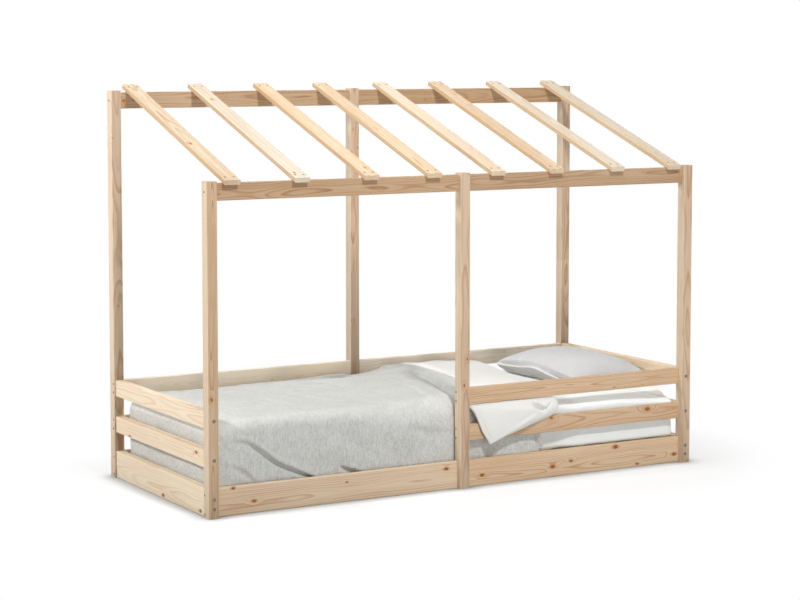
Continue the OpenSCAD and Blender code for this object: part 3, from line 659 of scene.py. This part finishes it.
def mattress_piece():
    """A foam mattress: round edges and corners, a slight crown, and the sheet's small creases near its edges."""
    low, high = np.array(MATTRESS_LOW), np.array(MATTRESS_HIGH)
    middle, half, tall = (low + high) / 2, (high - low) / 2, high[2] - low[2]
    corner, edge = 0.022, 0.026
    around = []
    signs = ((-1, -1), (1, -1), (1, 1), (-1, 1))
    hubs = [middle[:2] + np.array(sign) * (half[:2] - corner) for sign in signs]
    for quarter, hub in enumerate(hubs):
        for k in range(13):
            turn = math.pi * (1 + quarter / 2) + math.pi / 2 * k / 12
            around.append((*hub, math.cos(turn), math.sin(turn)))
        leg = hubs[(quarter + 1) % 4] - hub
        count = 54 if quarter % 2 else 140
        around += [(*(hub + leg * k / count), *around[-1][2:]) for k in range(1, count)]
    around = np.array(around)
    quarters = [math.pi / 2 * k / 8 for k in range(9)]
    rings = [(edge * (1 - math.sin(turn)), low[2] + edge * (1 - math.cos(turn))) for turn in quarters]
    for k in range(1, 16):
        z = low[2] + edge + (tall - 2 * edge) * k / 16
        rings.append((0.003 * math.sin(math.pi * (z - low[2]) / tall), z))
    rings += [(edge * (1 - math.cos(turn)), high[2] - edge * (1 - math.sin(turn))) for turn in quarters]
    run = np.cumsum(np.r_[0, np.hypot(*np.diff(around[:, :2] + corner * around[:, 2:], axis=0).T)])
    rows = []
    for inset, z in rings:
        rise = (z - low[2]) / tall
        ripple = 0.0011 * waves(run, np.full(len(run), z * 2), 11, 7, 0.12, 1.0, 0.2)
        out = corner - inset + ripple * smooth(rise * 3) * smooth((1 - rise) * 5)
        rows.append(np.c_[around[:, :2] + out[:, None] * around[:, 2:], np.full(len(around), z)])
    rim = rows[-1]
    for share in np.linspace(0.97, 0.03, 46):
        flat = middle[:2] + (rim[:, :2] - middle[:2]) * share
        wrinkle = waves(flat[:, 0], flat[:, 1], 12, 9, 0.16, 0.0009, 0.9) * smooth((1 - share) * 12)
        rows.append(np.c_[flat, high[2] + CROWN * (1 - share ** 2) + wrinkle])
    count = len(around)
    stacked = np.concatenate(rows + [np.array([[*middle[:2], high[2] + CROWN], [*middle[:2], low[2]]])])
    # Beyond the duvet the mattress fills the frame, and the sheet's elastic rounds its upper edge off
    rise = np.clip((stacked[:, 2] - low[2]) / tall, 0, 1)
    past = smooth((stacked[:, 0] - 0.4) / 0.14)
    near_front = smooth((-0.25 - stacked[:, 1]) / 0.125)
    rounded = 0.02 + 0.022 * smooth((stacked[:, 0] - 0.72) / 0.28)
    stacked[:, 2] -= past * near_front ** 2 * rise ** 3 * rounded
    stacked[:, 1] -= 0.022 * past * smooth((-0.335 - stacked[:, 1]) / 0.03) * smooth(rise * 14)
    stacked[:, 0] += 0.011 * smooth((stacked[:, 0] - 0.95) / 0.03)
    faces = grid_faces(len(rows), count, closed=True).tolist()
    last, peak, foot = (len(rows) - 1) * count, len(rows) * count, len(rows) * count + 1
    for k in range(count):
        after = (k + 1) % count
        faces += [(last + k, last + after, peak), (after, k, foot)]
    return new_piece("mattress_in_sheet", stacked.tolist(), faces)


# Duvet: it lies on the mattress, and hangs inside the rails at the foot and the front

# From the posts' front to the middle in mm. Then in metres the heights of the duvet's lower side and of its hem,
# how far it hangs outside the mattress, and where it is highest.
FRONT_TO_MIDDLE = 439.6
UNDER = 0.2918
HEM = 0.098
SIDE_OUT = 0.016
RISE_X = 0.255
# 1 mm inside the boards at the front and at the foot
INSIDE_FRONT, INSIDE_FOOT = -0.3966, -1.007


def duvet_top(x, y):
    """Height of the duvet's upper side, in the CAD's broad form. Its waves are counted from the posts' front."""
    mx, my = x * 1000, y * 1000 + FRONT_TO_MIDDLE
    broad = 0.004 * np.sin(np.radians(mx * 0.42 + my * 0.25)) + 0.003 * np.sin(np.radians(my * 0.7 - mx * 0.2))
    far_side = 0.008 * smooth((y - 0.22) / 0.14) + 0.016 * smooth((-0.86 - x) / 0.12)
    steep = 0.009 * np.exp(-(((x - 0.105) / 0.06) ** 2)) * smooth((y - 0.2) / 0.15)
    return UNDER + 0.038 + broad - far_side + steep + 0.021 * np.exp(-(((x - RISE_X) / 0.19) ** 2))


def head_edge(y):
    """Where the duvet ends towards the pillow: it lies at a slant."""
    return 0.596 - 0.235 * (MATTRESS_HIGH[1] - y) / 0.77


def duvet_sides(inner):
    """The duvet's outer or inner side as a grid, and the cut cloth's own coordinates."""
    hung, long, wide = 26, 170, 80
    u, v = (np.r_[np.linspace(-1, 0, hung, endpoint=False), np.linspace(0, 1, n + 1)] for n in (long, wide))
    u, v = np.meshgrid(u, v, indexing="ij")
    side_x, side_y = MATTRESS_LOW[0] - SIDE_OUT, MATTRESS_LOW[1] - SIDE_OUT
    down_x, down_y = np.clip(-u, 0, 1), np.clip(-v, 0, 1)
    down = np.maximum(down_x, down_y)
    least = np.minimum(down_x, down_y) / np.maximum(down, 1e-9)
    turn = np.where(down_x >= down_y, math.pi / 4 * least, math.pi / 2 - math.pi / 4 * least)
    if inner:
        rx = ry = np.full(u.shape, 0.029)
        side_x, side_y = MATTRESS_LOW[0] - 0.003, MATTRESS_LOW[1] - 0.003
    else:
        rx = np.full(u.shape, 0.05)
        ry = 0.05 + 0.04 * smooth((u * 1.55 - 0.55) / 0.4)
    start_x, start_y = side_x + rx, side_y + ry
    y = start_y + (MATTRESS_HIGH[1] - 0.021 - start_y) * np.clip(v, 0, 1)
    slant = 0.04 * smooth((down_y - 0.45) / 0.5) - 0.034 * smooth(down_y / 0.3)
    x = start_x + (head_edge(y) - 0.02 + slant - start_x) * np.clip(u, 0, 1)
    top = UNDER + np.zeros(u.shape) if inner else duvet_top(x, y)
    bend = np.where(down_y > down_x, ry, rx)
    arc = bend * math.pi / 2
    total = arc + top - bend - HEM
    reach = down * total
    angle = np.clip(reach / np.maximum(bend, 1e-9), 0, math.pi / 2)
    out = bend * np.sin(angle)
    fall = bend * (1 - np.cos(angle)) + np.clip(reach - arc, 0, None)
    grid = np.stack([x - out * np.cos(turn), y - out * np.sin(turn), top - fall], axis=2)
    cut_a = np.where(u < 0, start_x - down_x * total, x)
    cut_b = np.where(v < 0, start_y - down_y * total, y)
    # The far foot corner is round, as the mattress is
    hub = np.array((MATTRESS_LOW[0] + 0.034, MATTRESS_HIGH[1] - 0.055))
    away = grid[:, :, :2] - hub
    square = np.maximum(-away[:, :, 0], away[:, :, 1])
    inside = (away[:, :, 0] < 0) & (away[:, :, 1] > 0)
    scale = np.where(inside, square / np.maximum(np.hypot(away[:, :, 0], away[:, :, 1]), 1e-9), 1)
    grid[:, :, :2] = hub + away * scale[:, :, None]
    return grid, cut_a, cut_b


# Each crease in mm: its line, depth, width, and the height of the ridge beside it. The lines are in the cut cloth's
# coordinates, and those of the hanging corner in x and z.
BROAD_CREASES = (
    (((-930, -430), (-856, -457), (-810, -497), (-758, -534), (-694, -564), (-610, -603)), 11, 9, 6),
    (((-935, -515), (-880, -557), (-840, -595)), 6, 10, 4),
    (((-500, -570), (-456, -588), (-400, -603)), 9, 9, 3),
    (((-520, -440), (-440, -480), (-360, -540)), 4, 22, 3),
    (((-200, -440), (-120, -470), (-30, -475)), 5, 16, 3),
    (((-310, -450), (-270, -530), (-250, -610)), 4, 24, 3),
    (((-15, 20), (-28, -110), (-70, -260), (-130, -360)), 5, 13, 4),
    (((140, 300), (110, 200), (30, 100), (0, 0)), 4, 16, 3),
    (((-160, 330), (-100, 345), (-20, 375)), 12, 22, 4),
    (((-660, 20), (-620, -80), (-600, -180)), 3, 20, 2),
    (((-500, 100), (-460, -20), (-420, -120)), 3, 22, 2),
    (((-860, 300), (-740, 260), (-600, 280)), 3, 25, 2),
    (((-300, 300), (-250, 150), (-240, 20)), 4, 25, 3),
)
SHARP_CREASES = (
    (((340, -530), (350, -553), (361, -575), (374, -600)), 15, 5.5, 4),
    (((-790, -510), (-735, -546), (-680, -570), (-610, -603), (-580, -615)), 14, 5.5, 7),
    (((-500, -572), (-450, -590), (-390, -606)), 10, 5.5, 4),
    (((-960, -575), (-945, -592), (-930, -610)), 10, 6, 3),
    (((-860, -458), (-820, -480), (-770, -520)), 5, 6, 4),
    (((-300, 350), (-220, 356), (-100, 362), (-30, 372)), 10, 8, 6),
)
FOLD_RISE = 0.012
CORNER_CREASES = (
    (((306, 292), (322, 281), (340, 272), (360, 266)), 24, 7.5, 12),
    (((360, 266), (376, 276), (392, 294)), 5, 6, 4),
    (((325, 262), (280, 245), (230, 222)), 3, 10, 2),
    (((315, 286), (250, 290), (150, 293)), 3, 9, 2),
)
FOLD_LINE = ((0.1, 0.4), (0.13, 0.2), (0.117, 0.035), (0.054, -0.173), (-0.002, -0.37), (-0.02, -0.45))


def on_line(line, y):
    """The place along x of a line that runs from the back to the front."""
    across, along = np.array(line[::-1]).T
    return np.interp(y, along, across)


def fold_rise(past):
    """How much higher the duvet lies a little past its fold."""
    return FOLD_RISE * smooth((past + 0.004) / 0.035) * (1 - smooth((past - 0.08) / 0.1))


def simulated(grid, cap, cut, hold, bend):
    """The same cloth on a grid of points."""
    faces = grid_faces(*grid.shape[:2]).tolist()
    return simulate(grid.reshape(-1, 3), faces, cap, cut.reshape(-1, 3), hold, bend).reshape(grid.shape)


def duvet_piece():
    """The duvet's body, with the fold across it under the turned-back layer."""
    outer, a, b = duvet_sides(False)
    inner = duvet_sides(True)[0]
    lies = smooth((b + 0.36) / 0.06)
    height = 0.0016 * waves(a, b, 21, 9, 0.17, 1.0, 1.2) + 0.001 * waves(a, b, 22, 9, 0.07, 1.0, 0.4, 0.8)
    height += lies * 0.0022 * waves(a, b, 23, 6, 0.34, 1.0, 0.7)
    height += (1 - lies) * 0.0012 * waves(a, b * 0.25, 24, 7, 0.13, 1.0, 0.0, 0.2)
    height += sum(crease(a, b, *line) for line in BROAD_CREASES)
    past = a - on_line(FOLD_LINE, b)
    ahead = smooth((0.16 - b) / 0.12) * smooth((b + 0.35) / 0.08)
    height += fold_rise(past) * smooth((b + 0.37) / 0.12) - 0.009 * ahead * np.exp(-((past / 0.009) ** 2))
    outer = raised(outer, height)
    cut = np.stack([a * 1.03, b * 1.03, np.zeros(a.shape)], axis=2)
    outer = finer(simulated(outer, 0.008, cut, 0.25, 1.5))
    a, b = finer(a), finer(b)
    outer = raised(outer, sum(crease(a, b, *line) for line in SHARP_CREASES))
    stand = smooth((outer[:, :, 0] - 0.12) / 0.12) * smooth((0.27 - outer[:, :, 2]) / 0.03)
    outer[:, :, 1] = np.maximum(outer[:, :, 1] - 0.007 * stand, INSIDE_FRONT)
    outer[:, :, 0] = np.maximum(outer[:, :, 0], INSIDE_FOOT)
    return quilt("duvet_body", outer, finer(inner))


# The duvet's turned-back layer: over the duvet, then out between the guard rails and down over the middle one

HEM_LINE = ((0.205, 0.4), (0.2, 0.2), (0.2, 0.03), (0.18, -0.05), (0.125, -0.2), (0.065, -0.32), (0.045, -0.37))
HEAD_LINE = ((0.603, 0.4), (0.567, 0.271), (0.529, 0.044), (0.46, -0.222), (0.42, -0.36))


def spread(rows, count):
    """Smooth rows through the given ones, evenly spaced."""
    rows = np.array(rows, float)
    padded = np.concatenate([2 * rows[:1] - rows[1:2], rows, 2 * rows[-1:] - rows[-2:-1]])
    fine = []
    for k in range(1, len(padded) - 2):
        a, b, c, d = padded[k - 1:k + 3]
        for t in np.linspace(0, 1, 16, endpoint=False):
            curve = (2 * a - 5 * b + 4 * c - d) * t ** 2 + (3 * b - a - 3 * c + d) * t ** 3
            fine.append(0.5 * (2 * b + (c - a) * t + curve))
    fine = np.array(fine + [rows[-1]])
    step = np.linalg.norm(np.diff(fine, axis=0), axis=2).max(axis=1)
    run = np.r_[0, np.cumsum(step)]
    where = np.interp(np.linspace(0, run[-1], count), run, np.arange(len(run)))
    low = np.minimum(where.astype(int), len(fine) - 2)
    share = (where - low)[:, None, None]
    return fine[low] * (1 - share) + fine[low + 1] * share


# Rows through the gap between the guard rails and down: first and last x, then y and z inside and outside
CORNER_ROWS = (
    (0.042, 0.408, -0.3676, 0.299, -0.379, 0.326),
    (0.04, 0.412, -0.3816, 0.264, -0.3916, 0.3098),
    (0.04, 0.414, -0.395, 0.242, -0.404, 0.309),
    (0.041, 0.412, -0.406, 0.2385, -0.42, 0.3075),
    (0.047, 0.402, -0.415, 0.2385, -0.433, 0.296),
    (0.058, 0.384, -0.4178, 0.234, -0.439, 0.274),
    (0.067, 0.361, -0.4178, 0.226, -0.441, 0.251),
    (0.075, 0.318, -0.42, 0.215, -0.4412, 0.232),
    (0.084, 0.262, -0.4225, 0.201, -0.4412, 0.209),
    (0.093, 0.213, -0.425, 0.188, -0.4408, 0.192),
    (0.104, 0.16, -0.4265, 0.172, -0.4398, 0.174),
    (0.112, 0.119, -0.427, 0.157, -0.438, 0.1575),
)


# How much of the layer hangs outside. Then where along y it is in front of the guard rails, the stretch along y that
# the rails take up, and the height that stays clear of the upper one.
HANGS = 0.24
BEFORE_RAILS = -0.4165
RAILS_FRONT, RAILS_BACK = -0.4185, -0.393
UPPER_RAIL_CLEAR = 0.3106


def hanging(down):
    """1 where the layer hangs outside the guard rails, and 0 on the bed."""
    return smooth((down - down.max() + HANGS) / 0.06)


def turned_piece():
    """The turned-back layer, from its back edge to the tip of the corner that hangs outside."""
    columns = 48
    share = np.linspace(0, 1, columns + 1)
    outer, inner = [], []
    for y in (0.384, 0.36, 0.3, 0.22, 0.14, 0.06, -0.02, -0.1, -0.18, -0.25, -0.31, -0.345):
        x = on_line(HEM_LINE, y) + (on_line(HEAD_LINE, y) - on_line(HEM_LINE, y)) * share
        # Past the duvet's own head edge the fold comes down to the sheet
        over = smooth((x - head_edge(y) + 0.03) / 0.05)
        ground = duvet_top(x, y)
        rim = smooth((y + 0.4) / 0.1)
        loft = 0.004 + 0.01 * np.sin(math.pi * share) ** 0.7
        under = fold_rise(x - on_line(FOLD_LINE, y)) * rim
        edge = smooth((0.4 - y) / 0.04)
        top = ground + under + loft * (0.4 + 0.6 * edge) - 0.012 * smooth((share - 0.86) / 0.14)
        bottom = (ground + under - 0.006) * (1 - over) + (UNDER + 0.0006) * over
        outer.append(np.c_[x, np.full(x.shape, y), top])
        inner.append(np.c_[x, np.full(x.shape, y), bottom])
    puff = 0.3 + 0.7 * np.sin(math.pi * np.clip(share * 1.6, 0, 0.5)) ** 0.8 * (1 - 0.4 * smooth((share - 0.8) / 0.2))
    # The cloth is thin at its left edge, and bunched farther on
    bunched = 0.12 + 0.88 * smooth((share - 0.06) / 0.3)
    for x0, x1, y_in, z_in, y_out, z_out in CORNER_ROWS:
        x = x0 + (x1 - x0) * share
        top = z_out - 0.004 * (1 - puff)
        outer.append(np.c_[x, y_in + (y_out - y_in) * puff, top])
        inner.append(np.c_[x + 0.004 * (1 - share), np.full(x.shape, y_in), top - (z_out - z_in) * bunched])
    rows = 124
    outer, inner = spread(outer, rows + 1), spread(inner, rows + 1)
    across = outer[:, :, 0] - outer[:, :1, 0]
    down = np.cumsum(np.r_[0, np.linalg.norm(np.diff(outer[:, columns // 2], axis=0), axis=1)])
    down = down[:, None] + np.zeros(across.shape)
    hangs = hanging(down)
    height = 0.0016 * waves(across, down, 31, 8, 0.16, 1.0, 0.5, 0.5) * (1 - hangs)
    height += 0.001 * waves(across, down, 32, 8, 0.09, 1.0, 0.1, 0.3) * hangs
    height += crease(across, down, ((20, 50), (50, 300), (60, 550), (50, 720)), 2, 12, 2)
    outer = raised(outer, height)
    cut = np.stack([outer[:, :1, 0] * 0.3 + across, down, across * 0], axis=2) * 1.02
    moved = simulated(outer, 0.004, cut, 0.3, 1.0)
    # Clear of the rail's face, and of both rails in the gap between them
    y, z = moved[:, :, 1], moved[:, :, 2]
    beside = inner[:, :, 1] < BEFORE_RAILS
    y[beside] = np.minimum(y, inner[:, :, 1] - 0.004)[beside]
    in_gap = (y < RAILS_BACK) & (y > RAILS_FRONT) & ~beside
    z[in_gap] = np.minimum(z, UPPER_RAIL_CLEAR)[in_gap]
    across, down, moved = finer(across), finer(down), finer(moved)
    # Where the cloth is gathered, and the hem's seam
    outside = smooth((-0.414 - moved[:, :, 1]) / 0.01)
    sharp = sum(crease(moved[:, :, 0], moved[:, :, 2], *line) for line in CORNER_CREASES) * outside
    seam = 0.0014 * np.exp(-(((across - 0.013) / 0.0022) ** 2))
    moved = raised(moved, sharp - hanging(down) * seam)
    return quilt("duvet_turned_back", moved, finer(inner), bulge=0.8, marks={"across": across, "down": down})


# Pillow: two panels sewn together, filled, with piping in the seam

PILLOW_LOW = (0.62, -0.2596, 0.2922)
PILLOW_HIGH = (0.994, 0.35, 0.408)
SEAM_RISE = 0.03
# How far out and up the rows of the upper panel next to the seam are moved
OVER_SEAM = ((0, 0), (-0.004, -0.004), (-0.002, -0.006), (0.008, 0.0015), (0.01, 0.001), (0.006, 0), (0.002, 0))
PUCKERS = (
    (((630, 165), (650, 172), (685, 176)), 6, 8, 2),
    (((630, 10), (650, 14), (675, 20)), 6, 7, 2),
    (((630, -80), (650, -82), (672, -90)), 4, 7, 2),
)


def pillow_piece():
    """Both panels share their outer points, so the seam is one line. Gives the pillow and the seam's points."""
    n, m = 60, 92
    low, high = np.array(PILLOW_LOW), np.array(PILLOW_HIGH)
    u, v = np.meshgrid(np.linspace(-1, 1, n + 1), np.linspace(-1, 1, m + 1), indexing="ij")
    middle, half = (low + high) / 2, (high - low) / 2

    def puffed(p):
        return (1 - np.abs(p) ** 2.6) ** 0.6

    # The upper panel runs flat for a little way inside the piping, then rises steeply
    puff = puffed(np.minimum(np.abs(u) / 0.945, 1)) * puffed(np.minimum(np.abs(v) / 0.97, 1))
    x = middle[0] + (half[0] - 0.006) * u * (1 - 0.06 * (1 - v * v))
    y = middle[1] + (half[1] - 0.006) * v * (1 - 0.045 * (1 - u * u))
    # The seam rises in an arch at the foot side, and where the pillow leans on the head rails
    arch = 0.016 * smooth(-u * 1.3) * np.exp(-(((y - 0.075) / 0.09) ** 2))
    droop = 0.01 * smooth((-y - 0.02) / 0.12) * smooth(-u)
    seam = low[2] + SEAM_RISE + arch - droop + 0.018 * smooth(u) * (1 - v * v)
    overhang = 0.009 * smooth((puff - 0.02) / 0.2) * smooth((0.75 - puff) / 0.3) * smooth((np.abs(u) - 0.6) / 0.2)
    flat_part = 0.003 * (puff < 0.01) * (np.abs(u) < 0.99)
    upper = np.stack([x + overhang * np.sign(u), y, seam - flat_part + (high[2] - 0.012 - seam) * puff], axis=2)
    lower = np.stack([x, y, seam - (seam - low[2]) * np.minimum(1, puffed(u) * puffed(v) * 2.4)], axis=2)
    count = (n + 1) * (m + 1)
    rim = border(n + 1, m + 1)
    inside = np.ones(count, bool)
    inside[rim] = False
    number = np.arange(count)
    number[inside] = count + np.arange(inside.sum())
    faces = grid_faces(n + 1, m + 1)
    all_faces = np.concatenate([faces, number[faces][:, ::-1]]).tolist()
    points = np.concatenate([upper.reshape(-1, 3), lower.reshape(-1, 3)[inside]])
    flat = np.stack([u * half[0] * 1.05, v * half[1] * 1.05, puff * 0.02], axis=2).reshape(-1, 3)
    cut = np.concatenate([flat, flat[inside] * np.array((1, 1, -1))])
    points = simulate(points, all_faces, 0.014, cut, 0.08, 0.6, frames=24, pressure=4.0)
    grown = (high[2] - low[2]) / (points[:, 2].max() - low[2])
    share = smooth((points[:, 2] - low[2] - SEAM_RISE) / 0.05)
    points[:, 2] = low[2] + (points[:, 2] - low[2]) * (1 + (grown - 1) * share)
    # At the foot side the full upper panel hangs over the seam, and puckers run into it
    panel = points[:count].reshape(n + 1, m + 1, 3)
    hang = smooth((0.97 - np.abs(v[0])) / 0.12) * (0.55 + 0.45 * np.exp(-(((y[0] + 0.13) / 0.11) ** 2)))
    for row, (out_by, up_by) in enumerate(OVER_SEAM):
        panel[row, :, 0] -= out_by * hang
        panel[row, :, 2] += up_by * hang
    inner_part = smooth((0.99 - np.maximum(np.abs(u), np.abs(v))) / 0.03)
    for pucker in PUCKERS:
        panel[:, :, 2] += inner_part * crease(x, y, *pucker)
    points[:count] = panel.reshape(-1, 3)
    points[:, 2] = np.maximum(points[:, 2], low[2] + 0.0006)
    points[:, 0] = np.clip(points[:, 0], low[0] - 0.002, high[0] + 0.004)
    made = new_piece("pillow_cover", points.tolist(), all_faces)
    mark(made, "lower_side", np.r_[np.zeros(count), np.ones(inside.sum())])
    return made, points[rim]


PIPING_RADIUS = 0.0028
PIPING_STEPS = 420


def tube(name, line, radius, sides=8):
    """A round trim along a closed line of points."""
    ahead = unit(np.roll(line, -1, axis=0) - np.roll(line, 1, axis=0))
    side = unit(np.cross(ahead, (0, 0, 1)))
    up = np.cross(side, ahead)
    turn = np.linspace(0, 2 * math.pi, sides, endpoint=False)[None, :, None]
    rings = line[:, None] + radius * (side[:, None] * np.cos(turn) + up[:, None] * np.sin(turn))
    faces = grid_faces(len(line) + 1, sides, closed=True) % (len(line) * sides)
    return new_piece(name, rings.reshape(-1, 3).tolist(), faces.tolist())


def evened(line, count):
    """The same closed line, smoothed, with evenly spaced points."""
    for _ in range(3):
        line = 0.25 * np.roll(line, 1, axis=0) + 0.5 * line + 0.25 * np.roll(line, -1, axis=0)
    shut = np.concatenate([line, line[:1]])
    run = np.r_[0, np.cumsum(np.linalg.norm(np.diff(shut, axis=0), axis=1))]
    where = np.linspace(0, run[-1], count, endpoint=False)
    return np.stack([np.interp(where, run, shut[:, k]) for k in range(3)], axis=1)


mattress = mattress_piece()
give(mattress, sheet_cotton)
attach(mattress, "bed")
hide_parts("mattress")

duvet = duvet_piece()
give(duvet, linen)
turned = turned_piece()
give(turned, lining)
for piece in (duvet, turned):
    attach(piece, "bed")
    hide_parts("duvet")

pillow, seam_line = pillow_piece()
give(pillow, pillow_linen)
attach(pillow, "pillow")
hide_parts("pillow")
piping = tube("pillow_piping", evened(seam_line, PIPING_STEPS), PIPING_RADIUS)
give(piping, trim)
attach(piping, "pillow")


# Floor, world and lights

# The floor's grey, the light it adds for the camera, half its side, and how near a board the painted contact shadow
# reaches
FLOOR_TONE = 0.4
FLOOR_LIFT = 0.6
FLOOR_HALF = 30.0
CONTACT_SHADE_REACH = 0.07
WHITE = (1, 1, 1, 1)


def seen(tree):
    """1 for what the camera sees, also in metal and through glass, and 0 for what lights the object."""
    path = add(tree, "ShaderNodeLightPath").outputs
    found = Number(tree, path["Is Camera Ray"])
    return found.do("MAXIMUM", path["Is Glossy Ray"]).do("MAXIMUM", path["Is Transmission Ray"])


def stage_floor():
    """The floor keeps the shadow, with a painted contact shadow that darkens it where the boards meet it, and fades to
    white farther out.
    """
    mesh = bpy.data.meshes.new("floor")
    corners = [(x * FLOOR_HALF, y * FLOOR_HALF, 0) for x, y in ((-1, -1), (1, -1), (1, 1), (-1, 1))]
    mesh.from_pydata(corners, [], [(0, 1, 2, 3)])
    floor = new_object("floor", mesh)
    made, tree = new_material("floor")
    shader = tree.nodes["Principled BSDF"]
    tone = (FLOOR_TONE, FLOOR_TONE, FLOOR_TONE, 1)
    feed(tree, shader, {"Base Color": tone, "Roughness": 1.0, "Specular IOR Level": 0.0})
    edge = ramp((on_piece(tree) * (0.24, 0.33, 0)).length(), [(0.28, 0.0), (0.39, 1.0)])
    # Painted contact shadow: less of the camera's light near the boards
    contact_shade = add(tree, "ShaderNodeAmbientOcclusion", {"Distance": CONTACT_SHADE_REACH}, samples=4).outputs["AO"]
    level = seen(tree) * FLOOR_LIFT * ramp(Number(tree, contact_shade), [(0.47, 0.0), (0.97, 1.0)])
    lifted = add(tree, "ShaderNodeEmission", {"Color": WHITE, "Strength": level})
    bright = add(tree, "ShaderNodeAddShader", {0: shader.outputs[0], 1: lifted.outputs[0]})
    glow = add(tree, "ShaderNodeEmission", {"Color": WHITE, "Strength": 1.0})
    blend = add(tree, "ShaderNodeMixShader", {0: edge, 1: bright.outputs[0], 2: glow.outputs[0]})
    feed(tree, tree.nodes["Material Output"], {"Surface": blend.outputs[0]})
    give(floor, made)


def white_world(light):
    world = bpy.data.worlds.new("studio")
    bpy.context.scene.world = world
    world.use_nodes = True
    tree = world.node_tree
    tree.nodes.clear()
    soft = add(tree, "ShaderNodeBackground", {"Color": (0.97, 0.985, 1, 1), "Strength": light})
    white = add(tree, "ShaderNodeBackground", {"Color": WHITE, "Strength": 1.0})
    both = add(tree, "ShaderNodeMixShader", {0: seen(tree), 1: soft.outputs[0], 2: white.outputs[0]})
    add(tree, "ShaderNodeOutputWorld", {"Surface": both.outputs[0]})


def softbox(name, place, target, size, power, spread=180):
    data = bpy.data.lights.new(name, "AREA")
    data.shape = "RECTANGLE"
    data.size, data.size_y = size
    data.energy = power
    data.spread = math.radians(spread)
    light = new_object(name, data)
    light.location = place
    light.visible_camera = False
    direction = np.array(target, float) - np.array(place, float)
    light.rotation_euler = Vector(direction).to_track_quat("-Z", "Y").to_euler()


stage_floor()
white_world(0.18)
softbox("key", (-0.7, -3.6, 4.3), (0, 0, 0.5), (0.35, 0.35), 132)
softbox("top", (-0.4, 0.5, 4.4), (0, 0, 0.4), (2.6, 2.0), 70)
softbox("left", (-4.3, 0.2, 2.6), (0, 0, 0.3), (0.45, 0.4), 94)
softbox("front", (0.2, -3.4, 0.35), (0.65, 0, 0.12), (1.6, 0.4), 2.4, 66)
